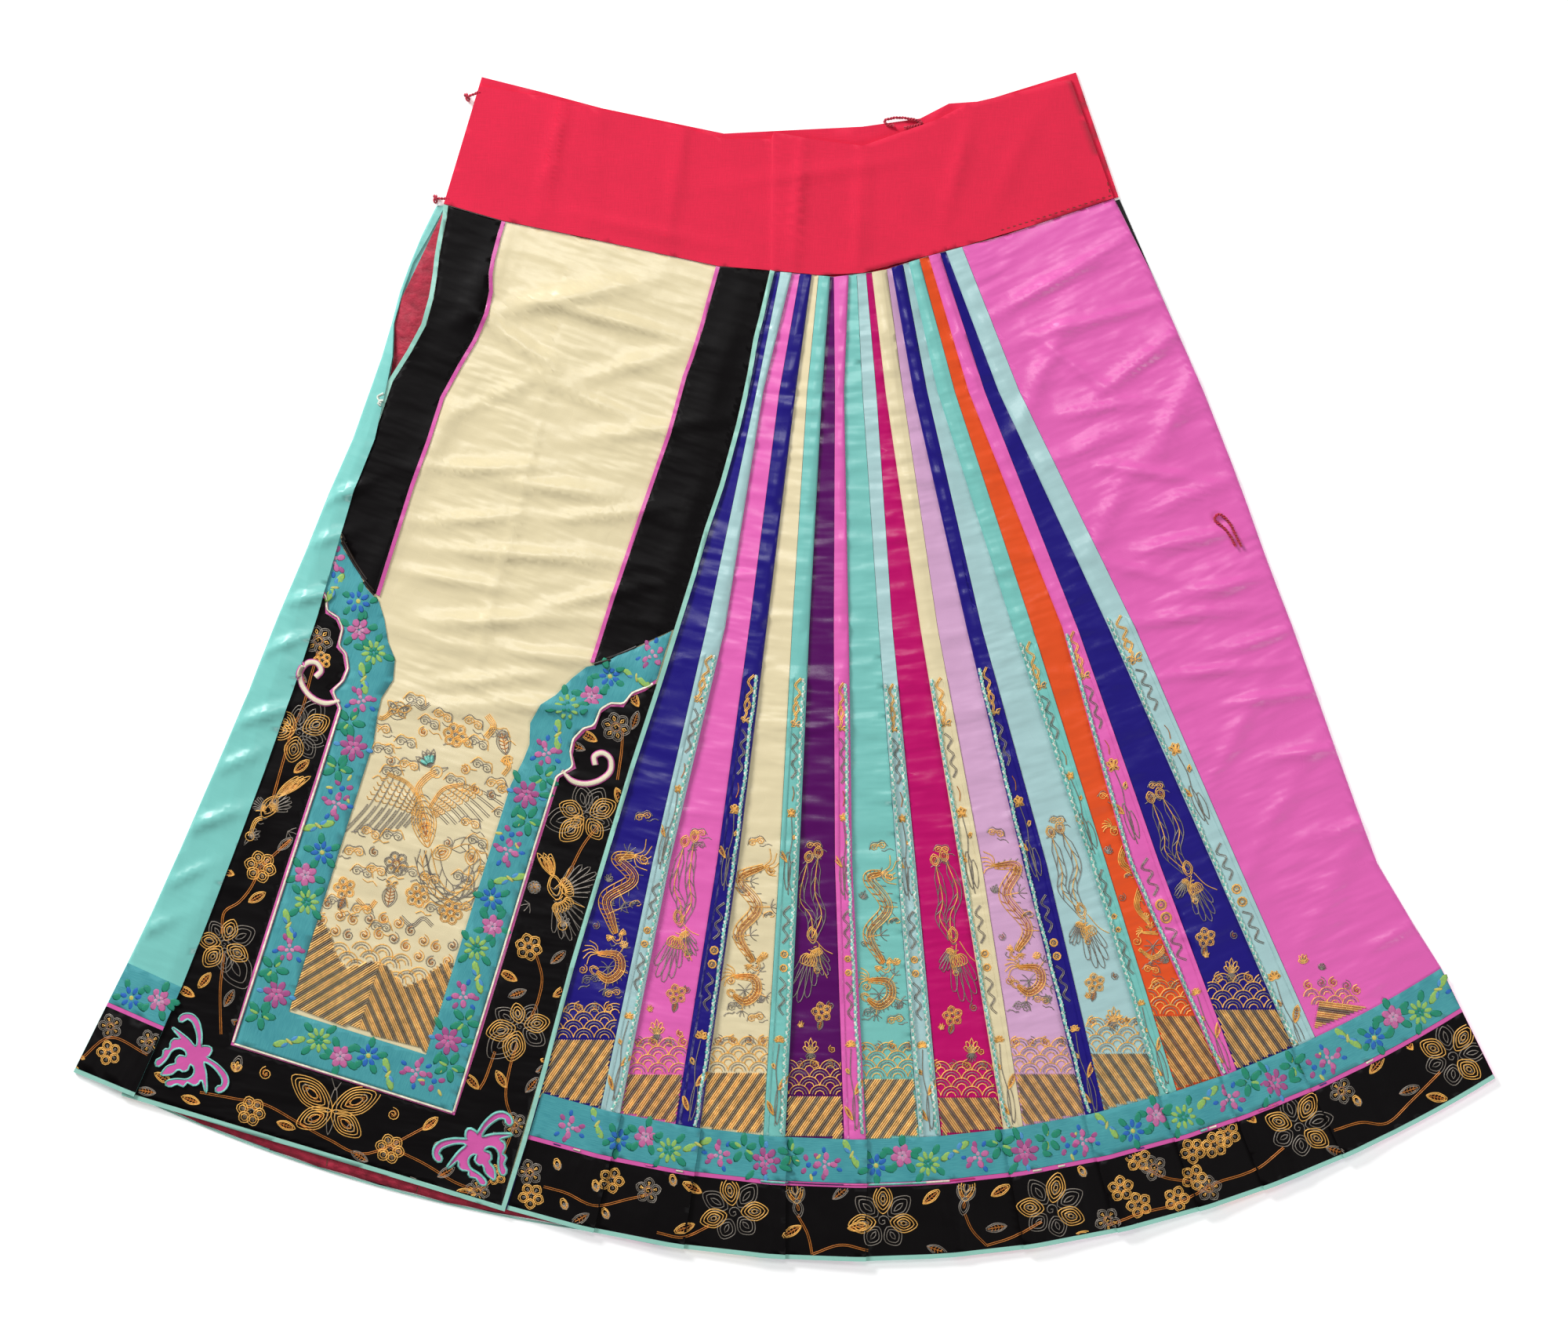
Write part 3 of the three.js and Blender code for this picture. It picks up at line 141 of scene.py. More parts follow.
class Finish:
    def __init__(self, name, **constants):
        self.material = bpy.data.materials.new(name)
        self.material.use_nodes = True
        self.tree = self.material.node_tree
        self.tree.nodes.clear()
        self.shader = self.tree.nodes.new("ShaderNodeBsdfPrincipled")
        output = self.tree.nodes.new("ShaderNodeOutputMaterial")
        self.tree.links.new(self.shader.outputs[0], output.inputs[0])
        for socket, value in constants.items():
            self.shader.inputs[socket.replace("_", " ")].default_value = value

    def node(self, kind, settings=None, sockets=(), output=0):
        node = self.tree.nodes.new(kind)
        for name, value in (settings or {}).items():
            if name == "stops":
                self.set_stops(node.color_ramp, value)
            else:
                setattr(node, name, value)
        pairs = sockets.items() if isinstance(sockets, dict) else enumerate(sockets)
        for key, value in pairs:
            self.plug(node.inputs[key], value)
        return Wire(self, node.outputs[output])

    def plug(self, socket, value):
        if isinstance(value, Wire):
            self.tree.links.new(value.socket, socket)
        else:
            socket.default_value = value

    def set_stops(self, ramp, stops):
        while len(ramp.elements) < len(stops):
            ramp.elements.new(0.5)
        for element, (place, colour) in zip(ramp.elements, stops):
            element.position = place
            element.color = colour

    def feed(self, socket, value):
        self.plug(self.shader.inputs[socket], value)

    def mix(self, share, first, second):
        sockets = {0: share, 6: first, 7: second}
        return self.node("ShaderNodeMix", {"data_type": "RGBA"}, sockets, output=2)

    def bump(self, height, depth, strength=1.0):
        sockets = {"Strength": strength, "Distance": depth, "Height": height}
        self.feed("Normal", self.node("ShaderNodeBump", {}, sockets))

    def noise(self, place, scale, detail=2.0, roughness=0.5):
        stretched = self.node("ShaderNodeMapping", {}, {"Vector": place, "Scale": scale})
        sockets = {"Vector": stretched, "Scale": 1.0, "Detail": detail, "Roughness": roughness}
        return self.node("ShaderNodeTexNoise", {}, sockets)

    def cloth_place(self):
        return self.node("ShaderNodeUVMap", {"uv_map": "Weave"})

    def number_on(self, name):
        return self.node("ShaderNodeAttribute", {"attribute_name": name}, output=2)

    def colour_on(self, name):
        return self.node("ShaderNodeAttribute", {"attribute_name": name})


def rgb(red, green, blue):
    """A colour as seen, 0 to 255, in the linear numbers that shaders use."""
    return tuple(((value / 255 + 0.055) / 1.055) ** 2.4 for value in (red, green, blue)) + (1.0,)


def shade(colour, factor):
    return tuple(min(part * factor, 1.0) for part in colour[:3]) + (1.0,)


print("mid grey in a shader:", round(rgb(128, 128, 128)[0], 3))

# %% [markdown]
# ## The cloths
#
# Satin has long floating threads: smooth, with a soft broad gloss and fine slubs across the panel.
# The weave could be modelled thread by thread, but at this size a bump is truer and far lighter.
# The patterns read the Weave coordinates, which run along each piece, in tenths of a metre.


# %% Satin, cotton and lining
def satin(name, colour, gloss=0.4, slub=0.04, roughness=0.29, crumple=0.8):
    finish = Finish(name, Specular_IOR_Level=gloss)
    place = finish.cloth_place()
    streaks = finish.noise(place, (5, 90, 1), 3, 0.6)
    clouds = finish.noise(place, (1.6, 1.1, 1), 3)
    threads = finish.noise(place, (420, 90, 1), 1)
    tone = (streaks - 0.5) * slub * 2 + (clouds - 0.5) * slub * 2.4 + (threads - 0.5) * slub * 0.8 + 0.5
    finish.feed("Base Color", finish.mix(tone, shade(colour, 0.6), shade(colour, 1.32)))
    finish.feed("Roughness", (clouds - 0.5) * 0.14 + roughness)
    folds = finish.noise(place, (1.1, 4.2, 1), 1.5, 0.45)
    puckers = finish.noise(place, (3, 11, 1), 1, 0.4)
    fine = threads * 0.04 + streaks * 0.02
    clamped = {"operation": "MULTIPLY", "use_clamp": True}
    patches = finish.node("ShaderNodeMath", clamped, [clouds - 0.36, 3.4])
    finish.bump(folds * 3.4 * crumple + puckers * patches * 2.2 * crumple + fine, 1.0 * MM)
    return finish.material


def cotton(name, colour, gloss=0.25):
    finish = Finish(name, Specular_IOR_Level=gloss, Sheen_Weight=0.25, Sheen_Roughness=0.6)
    place = finish.cloth_place()
    weft = finish.noise(place, (160, 6, 1), 3, 0.6)
    warp = finish.noise(place, (7, 170, 1), 3, 0.6)
    wear = finish.noise(place, (3, 2.2, 1), 4, 0.6)
    tone = (weft + warp) * 0.42 + wear * 0.35 - 0.1
    finish.feed("Base Color", finish.mix(tone, shade(colour, 0.66), shade(colour, 1.22)))
    finish.feed("Roughness", 0.72 + weft * 0.15)
    finish.bump(weft + warp, 0.22 * MM)
    return finish.material


def lining_cloth(name, colour):
    finish = Finish(name, Specular_IOR_Level=0.4, Sheen_Weight=0.1)
    place = finish.cloth_place()
    crumple = finish.noise(place, (14, 9, 1), 5, 0.6)
    threads = finish.noise(place, (240, 200, 1), 2)
    # Painted highlight and painted shade: the crumple noise that raises the bump also lightens the colour on
    # its crests and darkens it in its hollows. The threads add a small tone that differs at random.
    tone = crumple * 1.5 - 0.25 + (threads - 0.5) * 0.2
    finish.feed("Base Color", finish.mix(tone, shade(colour, 0.5), shade(colour, 1.55)))
    finish.feed("Roughness", 0.5 + crumple * 0.2)
    finish.bump(crumple * 2 + threads * 0.2, 0.9 * MM)
    return finish.material


SATINS = {
    "mint": rgb(122, 196, 188),
    "cream": rgb(234, 214, 174),
    "navy": rgb(30, 20, 122),
    "light_blue": rgb(170, 205, 206),
    "pink": rgb(236, 102, 182),
    "purple": rgb(84, 2, 92),
    "magenta": rgb(192, 4, 104),
    "lilac": rgb(214, 168, 205),
    "orange": rgb(240, 84, 36),
}
BLACK = rgb(10, 7, 8)
finishes = {name: satin(name + "_satin", colour) for name, colour in SATINS.items()}
finishes["mint_panel"] = satin("mint_panel_satin", SATINS["mint"], crumple=0.35)
finishes["black"] = satin("black_satin_matt", BLACK, gloss=0.1, slub=0.12, roughness=0.5, crumple=0.6)
finishes["red_cotton"] = cotton("red_cotton", rgb(224, 24, 66), gloss=0.12)
finishes["red_cord"] = cotton("red_cord", rgb(196, 26, 62))
finishes["cream_cord"] = cotton("cream_cord", rgb(236, 224, 196))
finishes["lining"] = lining_cloth("red_lining", rgb(164, 34, 58))
finishes["piping"] = satin("pink_piping", rgb(212, 92, 166), gloss=0.3)
finishes["binding"] = satin("mint_binding", rgb(150, 205, 190), gloss=0.3)
print(len(finishes), "cloths")


# %% Pieced satin of the back, and the ribbon's ground
def pieced_satin(name, colours):
    """Satin in bands of colour: turn counts the bands across it, and edge is below 0 on the black border."""
    finish = Finish(name, Specular_IOR_Level=0.3)
    place = finish.cloth_place()
    turn, edge = finish.number_on("turn"), finish.number_on("edge")
    stops = [(i / len(colours), colour) for i, colour in enumerate(colours)]
    bands = finish.node("ShaderNodeValToRGB", {"stops": stops}, [turn])
    bands.socket.node.color_ramp.interpolation = "CONSTANT"
    dark = finish.node("ShaderNodeMath", {"operation": "LESS_THAN"}, [edge, 0.0])
    shaded = finish.mix(finish.noise(place, (5, 60, 1), 3) * 0.4, bands, (0.02, 0.02, 0.02, 1))
    finish.feed("Base Color", finish.mix(dark, shaded, BLACK))
    finish.feed("Roughness", finish.noise(place, (5, 60, 1), 2) * 0.2 + 0.35)
    return finish.material


def ribbon_ground():
    finish = Finish("ribbon_brocade", Specular_IOR_Level=0.35, Sheen_Weight=0.15)
    place = finish.cloth_place()
    cords = finish.noise(place, (150, 9, 1), 2)
    clouds = finish.noise(place, (3, 4, 1), 3)
    tone = cords * 0.7 + clouds * 0.6 - 0.2
    finish.feed("Base Color", finish.mix(tone, rgb(32, 122, 136), rgb(88, 176, 178)))
    finish.feed("Roughness", 0.5 + cords * 0.2)
    finish.bump(cords, 0.2 * MM)
    return finish.material


finishes["ribbon"] = ribbon_ground()
finishes["back_door"] = pieced_satin("back_door_satin", [SATINS["cream"], SATINS["cream"]])

# %% [markdown]
# ## Creases
#
# Laid cloth is never quite flat. Long soft folds run across the cream panel from where it hung, short
# puckers cross the gores, and the pink panel is crumpled along its free side. A simulation would need the
# skirt's history, so the main creases are listed one by one: each row is one ridge in millimetres.
# All the upper layers rise by the same amount, so trims stay on their panels.

# %% Main creases: middle, direction in degrees, half length, half width and height
FRONT_HEM = {"x": 62, "y": 534, "radius": 1048.7}
CREASES = [
    (-195, 318, 12, 70, 7.4, 1.5), (-150, 300, -14, 60, 5.4, 1.2), (-128, 262, 16, 46, 6.4, 1),
    (-232, 282, -36, 40, 5, 1.3), (-246, 236, 24, 40, 4.6, 0.8), (-172, 232, -22, 42, 5.4, 0.8),
    (-118, 205, 8, 55, 6.4, 0.9), (-258, 172, 0, 46, 5.4, 1.3), (-200, 155, -8, 54, 6.4, 1.2),
    (-150, 132, 6, 48, 5.4, 0.8), (-268, 128, 4, 44, 4.6, 0.9), (-215, 96, -4, 70, 6.4, 1.4),
    (-282, 74, -10, 40, 4.6, 1), (-168, 60, 12, 52, 5.4, 0.9), (-246, 40, 2, 66, 6.4, 1.3),
    (-300, 22, -14, 36, 4.6, 0.8), (-190, 8, -6, 58, 5.4, 1.2), (-262, -12, 6, 52, 4.6, 0.9),
    (-214, -34, -2, 60, 5.4, 1.1), (-296, -36, -8, 34, 4.6, 0.7), (-198, 293, 80, 66, 3.2, 0.3),
    (-221, 176, 77, 72, 3.2, 0.35), (-243, 91, 70, 40, 3.2, 0.4), (-259, 32, 78, 50, 3.2, 0.35),
    (-262, 330, 66, 46, 12, 1.2), (-300, 200, 60, 50, 12, 0.9), (-60, 250, 72, 80, 12, 0.8),
    (-90, 110, 72, 90, 10, 0.7), (-118, -10, 74, 70, 9, 0.6), (-350, 90, 64, 60, 10, 0.7),
    (-318, 296, 70, 26, 8, 0.6), (232, 332, 30, 60, 5.4, 1.2), (268, 300, 16, 52, 4.6, 1),
    (250, 262, -36, 40, 5.4, 0.8), (306, 262, 38, 46, 5.4, 1.3), (222, 250, 66, 60, 8, 0.8),
    (288, 226, 10, 44, 4.6, 0.9), (336, 214, 62, 50, 8, 1), (262, 190, 22, 52, 5.4, 0.7),
    (318, 168, -8, 40, 4.6, 1.2), (356, 150, 20, 34, 4.6, 1.1), (286, 142, 64, 60, 7, 0.7),
    (344, 108, 12, 46, 4.6, 1.3), (304, 84, -14, 44, 5.4, 0.8), (384, 70, 14, 36, 4.6, 1.2),
    (352, 44, 8, 50, 4.6, 1.2), (408, 22, 18, 34, 4.6, 1), (370, -4, 6, 52, 4.6, 0.9),
    (424, -26, 10, 40, 4.6, 1.1), (392, -58, 62, 50, 7, 0.6), (452, -74, 8, 36, 4.6, 0.9),
    (430, -122, 62, 70, 8, 0.6), (486, -140, 20, 34, 4.6, 0.7), (470, -200, 64, 60, 9, 0.6),
    (530, -232, 30, 30, 4.6, 0.7), (-382, 150, 24, 26, 4.6, 1), (-398, 110, 18, 24, 5, 0.8),
    (-412, 60, 14, 24, 4.6, 1.2), (-432, 20, 22, 24, 4.6, 0.9), (-452, -42, 18, 30, 4.6, 1.3),
    (-474, -82, 24, 24, 4.6, 1), (-500, -134, 20, 30, 5.4, 1.3), (-520, -182, 26, 26, 4.6, 0.9),
    (-548, -226, 24, 26, 5.4, 0.8), (-455, -130, 66, 80, 8, 0.7), (-500, -200, 66, 60, 8, 0.7),
    (-200, 452, 78, 50, 4, 1), (-92, 430, 82, 60, 5, 0.6), (12, 400, 86, 52, 5, 1),
    (66, 396, 88, 54, 5, 0.8), (150, 430, 76, 40, 6, 0.7), (-120, 378, -12, 60, 4.6, 0.5),
    (200, 440, 66, 42, 7, 0.5), (30, 428, 8, 70, 6.4, 0.5),
]
CREASE_RISE = 3.6
HEM_FOLDS = [
    (-13.4, 0.4), (-9.7, 0.3), (-4.5, 0.5), (0.4, 0.3), (5, 0.6), (9.3, 0.4), (13, 0.5), (17.1, 0.4),
    (21.6, 0.6), (26.6, 0.4),
]
HEM_FOLD = {"radius": 1000, "half_length": 52, "half_width": 6.2}
PUCKER_ROWS = {"seed": 5, "count": 300, "low": -240, "high": 300}
WAIST = {"x": 70, "y": 340, "half": 70}
SPREAD = {"drop": 700, "half": 330, "turn": 0.06}
CREASE_REACH = 2.4


def small_puckers():
    """Short ridges across the gores, closer together towards the waist."""
    random = np.random.default_rng(PUCKER_ROWS["seed"])
    rows = []
    for _ in range(PUCKER_ROWS["count"]):
        y = random.uniform(PUCKER_ROWS["low"], PUCKER_ROWS["high"])
        share = (WAIST["y"] - y) / SPREAD["drop"]
        x = WAIST["x"] + random.uniform(-1, 1) * (WAIST["half"] + SPREAD["half"] * share)
        turn = random.uniform(-14, 14) + (x - WAIST["x"]) * SPREAD["turn"]
        rows.append((x, y, turn, random.uniform(9, 26), random.uniform(2.6, 5), random.uniform(0.1, 0.32)))
    return rows


def hem_folds():
    """The pleats' edges pressed through the ribbon and the band, along lines from the hem's centre."""
    rows = []
    for turn, high in HEM_FOLDS:
        angle = math.radians(turn)
        x = FRONT_HEM["x"] + math.sin(angle) * HEM_FOLD["radius"]
        y = FRONT_HEM["y"] - math.cos(angle) * HEM_FOLD["radius"]
        rows.append((x, y, turn - 90, HEM_FOLD["half_length"], HEM_FOLD["half_width"], high))
    return rows


crease_table = np.array(CREASES + hem_folds() + small_puckers(), float)


def crease_height(x, y):
    """How far the upper layers rise at points x, y, in millimetres."""
    height = np.zeros_like(x)
    for cx, cy, turn, long, wide, high in crease_table:
        reach = CREASE_REACH * long
        near = np.nonzero((np.abs(x - cx) < reach) & (np.abs(y - cy) < reach))[0]
        angle = math.radians(turn)
        dx = x[near] - cx
        dy = y[near] - cy
        along = (dx * math.cos(angle) + dy * math.sin(angle)) / long
        across = (dy * math.cos(angle) - dx * math.sin(angle)) / wide
        height[near] += CREASE_RISE * high * np.exp(-along ** 2 - across ** 2)
    return height


print(len(crease_table), "creases")

# %% [markdown]
# ## Cloth pieces from the model's walls
#
# Every panel keeps its wall from the model: both faces, folds and rims. Its large triangles can't bend, so
# its long edges are halved until each is short, and the points rise with the creases. Only walls above the
# lining move: what lies on the table stays flat.

# %% Shells
MOVES_ABOVE = 2.75
MOVE_RANGE = 0.35
ACROSS_SHARE = 0.5
SHARP_FROM = 38


def long_edges(mesh, limit):
    """The main creases run across the skirt, so an edge may be longer across it than down it."""
    found = []
    for edge in mesh.edges:
        across, down, rise = edge.verts[0].co - edge.verts[1].co
        if math.hypot(across * ACROSS_SHARE, down, rise) > limit:
            found.append(edge)
    return found


def fine_copy(node, cell):
    """The wall of a CAD node, merged, with no edge longer than cell."""
    work = bmesh.new()
    work.from_mesh(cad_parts[node].data)
    bmesh.ops.remove_doubles(work, verts=work.verts, dist=0.01 * MM)
    edges = long_edges(work, cell)
    while edges:
        bmesh.ops.subdivide_edges(work, edges=edges, cuts=1, use_grid_fill=True)
        edges = long_edges(work, cell)
    bmesh.ops.triangulate(work, faces=[face for face in work.faces if len(face.verts) > 4])
    mesh = bpy.data.meshes.new(node + "_cloth")
    work.to_mesh(mesh)
    work.free()
    return mesh


def read_points(mesh):
    points = np.zeros(len(mesh.vertices) * 3)
    mesh.vertices.foreach_get("co", points)
    return points.reshape(-1, 3)


def set_values(mesh, name, kind, values):
    field = {"FLOAT_COLOR": "color", "FLOAT_VECTOR": "vector"}.get(kind, "value")
    mesh.attributes.new(name, kind, "POINT").data.foreach_set(field, values)


def raise_creases(mesh):
    points = read_points(mesh)
    share = np.clip((points[:, 2] / MM - MOVES_ABOVE) / MOVE_RANGE, 0, 1)
    points[:, 2] += share * crease_height(points[:, 0] / MM, points[:, 1] / MM) * MM
    mesh.vertices.foreach_set("co", points.ravel())


def long_axis(points):
    """The direction in which a piece is longest, as a unit vector."""
    flat = points[:, :2] - points[:, :2].mean(axis=0)
    return np.linalg.eigh(flat.T @ flat)[1][:, 1]


def lay_weave(mesh, centre=None):
    """UV coordinates along the piece, in tenths of a metre: straight, or round a centre for a hem."""
    points = read_points(mesh)
    if centre is None:
        axis = long_axis(points)
        across = points[:, 0] * axis[1] - points[:, 1] * axis[0]
        along = points[:, 0] * axis[0] + points[:, 1] * axis[1]
    else:
        dx = points[:, 0] - centre[0] * MM
        dy = points[:, 1] - centre[1] * MM
        along = np.arctan2(dx, -dy)
        across = np.hypot(dx, dy)
        along = along * across.mean()
    corners = np.zeros(len(mesh.loops), int)
    mesh.loops.foreach_get("vertex_index", corners)
    layer = mesh.uv_layers.new(name="Weave")
    layer.data.foreach_set("uv", (np.stack([across, along], 1)[corners] * 10).ravel())


def add_object(name, mesh, material, slot):
    piece = bpy.data.objects.new(name, mesh)
    bpy.context.scene.collection.objects.link(piece)
    piece.data.materials.clear()
    piece.data.materials.append(material)
    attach(piece, "root")
    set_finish(piece, slot)
    return piece


pieces = {}


def add_cloth(node, finish, cell, centre=None):
    mesh = fine_copy(node, cell * MM)
    raise_creases(mesh)
    lay_weave(mesh, centre)
    mesh.shade_smooth()
    mesh.set_sharp_from_angle(angle=math.radians(SHARP_FROM))
    slot = SLOTS.get(finish, finish + "_satin")
    pieces[node] = add_object(node + "_cloth", mesh, finishes[finish], slot)
    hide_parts(node)


# %% Every cloth node
GORE_COLOURS = [
    "navy", "light_blue", "pink", "navy", "cream", "mint", "purple", "pink", "mint", "light_blue",
    "magenta", "cream", "lilac", "navy", "light_blue", "mint", "orange", "pink", "navy", "light_blue",
]
HEM_CENTRE = (FRONT_HEM["x"], FRONT_HEM["y"])
GORE_CELL = 6
HEM_CELL = 5

SLOTS = {
    "red_cotton": "red_cotton", "lining": "red_lining", "ribbon": "ribbon_brocade", "piping": "pink_piping",
    "binding": "mint_binding", "mint_panel": "mint_satin", "back_door": "cream_satin",
    "back_pleats": "navy_satin",
}
PANELS = [
    ("waistband_back", "red_cotton", 12), ("waistband_front", "red_cotton", 5),
    ("back_door", "back_door", 10), ("back_pleats", "back_pleats", 10), ("lining", "lining", 12),
    ("mint_panel", "mint_panel", 5), ("pink_panel", "pink", 5), ("door_panel", "cream", 6),
    ("door_border_left", "black", 5), ("door_border_right", "black", 5), ("door_border_lower", "black", 6),
    ("door_ribbon", "ribbon", 6), ("back_hem_binding", "binding", 10), ("mint_ribbon", "ribbon", 8),
    ("mint_piping", "piping", 6), ("mint_band", "black", 8), ("mint_binding", "binding", 6),
    ("door_piping_left", "piping", 5), ("door_piping_right", "piping", 5), ("door_piping_lower", "piping", 5),
    ("door_binding", "binding", 5),
]
HEM_STRIPS = {"hem_ribbon": "ribbon", "hem_piping": "piping", "hem_band": "black", "hem_binding": "binding"}

back_colours = [SATINS[name] for name in reversed(GORE_COLOURS)]
finishes["back_pleats"] = pieced_satin("back_pleats_satin", back_colours)
BACK_RIGHT_EDGE = [(-410, 630), (-356, 606), (-178, 511), (34, 437), (279, 345), (407, 290)]
BACK_WIDTH = (336, 289)
BACK_BORDER = 50
BACK_HEM = {"x": 26.7, "y": 896, "radius": 1399, "border": 66}


def border_back():
    """Distances on the hidden back: across its gores, and from the black borders of its door and hem."""
    heights = [y for y, _ in BACK_RIGHT_EDGE]
    edges = [x for _, x in BACK_RIGHT_EDGE]
    for node in ("back_door", "back_pleats"):
        mesh = pieces[node].data
        points = read_points(mesh) / MM
        x, y = points[:, 0], points[:, 1]
        right = np.interp(y, heights, edges)
        left = right - np.interp(y, (-450, 400), BACK_WIDTH)
        edge = BACK_HEM["radius"] - BACK_HEM["border"] - np.hypot(x - BACK_HEM["x"], y - BACK_HEM["y"])
        turn = np.arctan2(x - BACK_HEM["x"], BACK_HEM["y"] - y)
        turn = (turn - turn.min()) / (turn.max() - turn.min())
        if node == "back_door":
            edge = np.minimum(edge, np.minimum(right - x, x - left) - BACK_BORDER)
        set_values(mesh, "edge", "FLOAT", edge)
        set_values(mesh, "turn", "FLOAT", turn)


def gore(number):
    return f"gore_{number:02d}"


for node, finish, cell in PANELS:
    add_cloth(node, finish, cell)
for number, colour in enumerate(GORE_COLOURS, 1):
    add_cloth(gore(number), colour, GORE_CELL)
for node, finish in HEM_STRIPS.items():
    add_cloth(node, finish, HEM_CELL, centre=HEM_CENTRE)
border_back()
print(len(pieces), "cloth pieces,", sum(len(p.data.polygons) for p in pieces.values()), "faces")

# %% [markdown]
# ## Places on the skirt
#
# Needlework has to lie on its own panel and stop where another panel covers it. A ray straight down
# finds both the height and the panel on top, so no outline has to be written twice.
# Places are counted in steps of 0.68 mm, across from the left and down from the top of the picture.

# %% What lies on top
GRID = 0.68
LOOK_FROM = 0.1
FACES_UP = 0.05
RIBBON_DEPTH = 105.5
HIDDEN = {"back_door", "back_pleats", "back_hem_binding", "waistband_back"}


def spot(column, row):
    return np.array([(column - 1000) * GRID, (850 - row) * GRID])


def spots(*places):
    return [spot(*place) for place in places]


def top_tree():
    points, faces, owners = [], [], []
    for node, piece in pieces.items():
        if node in HIDDEN:
            continue
        first = len(points)
        points.extend(vertex.co.copy() for vertex in piece.data.vertices)
        for face in piece.data.polygons:
            if face.normal.z > FACES_UP:
                faces.append([first + index for index in face.vertices])
                owners.append(node)
    return BVHTree.FromPolygons(points, faces), owners


tree, owners = top_tree()
DOWN = Vector((0, 0, -1))


def land(x, y):
    """Height in metres and piece on top at a point in millimetres."""
    place, _, face, _ = tree.ray_cast(Vector((x * MM, y * MM, LOOK_FROM)), DOWN)
    if place is None:
        return 0.0, None
    return place.z, owners[face]


SCAN_ROWS = np.arange(380, -516, -16.0)
SCAN_COLUMNS = np.arange(-330, 620, 1.5)


def scan_spans():
    """For every piece, where it starts and ends across each row."""
    spans = {}
    for y in SCAN_ROWS:
        row = {}
        for x in SCAN_COLUMNS:
            node = land(x, y)[1]
            if node:
                row.setdefault(node, []).append(x)
        for node, hits in row.items():
            spans.setdefault(node, []).append((y, hits[0], hits[-1]))
    return {node: np.array(rows) for node, rows in spans.items()}


spans = scan_spans()


def across_gore(node, y):
    """Left and right edge of a gore at height y."""
    rows = spans[node][::-1]
    return np.interp(y, rows[:, 0], rows[:, 1]), np.interp(y, rows[:, 0], rows[:, 2])


def ribbon_top(x):
    """Height at which the hem's ribbon begins."""
    radius = FRONT_HEM["radius"] - RIBBON_DEPTH
    return FRONT_HEM["y"] - math.sqrt(radius ** 2 - (x - FRONT_HEM["x"]) ** 2)


def hem_arc(radius, angles):
    """Points on a circle round the hem's centre."""
    return np.stack([FRONT_HEM["x"] + radius * np.sin(angles), FRONT_HEM["y"] - radius * np.cos(angles)], 1)


print("spans of", len(spans), "pieces")

# %% [markdown]
# ## Lines and small shapes
#
# Couched work is drawn with one thread: every motif is a set of lines on flat cloth, in millimetres.
# Each function returns such a set, upright, starting at the origin. Larger motifs are built from smaller
# ones, as an embroiderer draws a dragon from scales, claws and flames.


# %% Lines
def smooth(points, closed=False, steps=6):
    """A soft curve through a few points."""
    points = np.array(points, float)
    if closed:
        before, start, end, after = (np.roll(points, k, axis=0) for k in (1, 0, -1, -2))
    else:
        padded = np.vstack([2 * points[0] - points[1], points, 2 * points[-1] - points[-2]])
        before, start, end, after = padded[:-3], padded[1:-2], padded[2:-1], padded[3:]
    t = np.linspace(0, 1, steps, endpoint=False)[:, None, None]
    curve = 0.5 * (2 * start + (end - before) * t + (2 * before - 5 * start + 4 * end - after) * t ** 2
                   + (3 * start - before - 3 * end + after) * t ** 3)
    curve = curve.transpose(1, 0, 2).reshape(-1, 2)
    return np.vstack([curve, curve[:1] if closed else points[-1:]])


def drawn(size, *points):
    """A soft curve through points that are given for a motif of size 1."""
    return smooth(np.array(points) * size)


def stepped(line, step):
    """The line with a point every step millimetres."""
    lengths = np.linalg.norm(np.diff(line, axis=0), axis=1)
    along = np.concatenate([[0], np.cumsum(lengths)])
    count = max(2, int(round(along[-1] / step)) + 1)
    places = np.linspace(0, along[-1], count)
    return np.stack([np.interp(places, along, line[:, 0]), np.interp(places, along, line[:, 1])], 1)


def arc(radius, start, end, x=0.0, y=0.0):
    count = max(4, int(abs(end - start) / 24) + 2)
    angles = np.radians(np.linspace(start, end, count))
    return np.stack([x + radius * np.cos(angles), y + radius * np.sin(angles)], 1)


def circle(thread, radius):
    return (thread, arc(radius, 0, 360))


def other(thread):
    """Gold is answered by silver, and silver by gold."""
    return "silver" if thread == "gold" else "gold"


def spiral(radius, turns=1.6, start=0, hand=1):
    angles = np.linspace(0, turns * 2 * np.pi, int(turns * 11))
    sizes = radius * (1 - angles / angles[-1] * 0.88)
    angles = np.radians(start) + hand * angles
    return np.stack([sizes * np.cos(angles), sizes * np.sin(angles)], 1)


def beside(line, gap):
    """The same line, moved sideways by gap."""
    step = np.gradient(line, axis=0)
    step /= np.maximum(np.linalg.norm(step, axis=1), 1e-6)[:, None]
    gap = np.broadcast_to(gap, len(line))[:, None]
    return line + np.stack([-step[:, 1], step[:, 0]], 1) * gap


def moved(motif, x=0.0, y=0.0, turn=0.0, size=1.0, flip=False):
    angle = math.radians(turn)
    matrix = np.array([[math.cos(angle), -math.sin(angle)], [math.sin(angle), math.cos(angle)]]) * size
    if flip:
        matrix = matrix @ np.diag([-1, 1])
    return [(thread, line @ matrix.T + (x, y)) for thread, line in motif]


def toward(start, end):
    """Turn in degrees that points an upright motif from start to end."""
    return math.degrees(math.atan2(end[1] - start[1], end[0] - start[0])) - 90


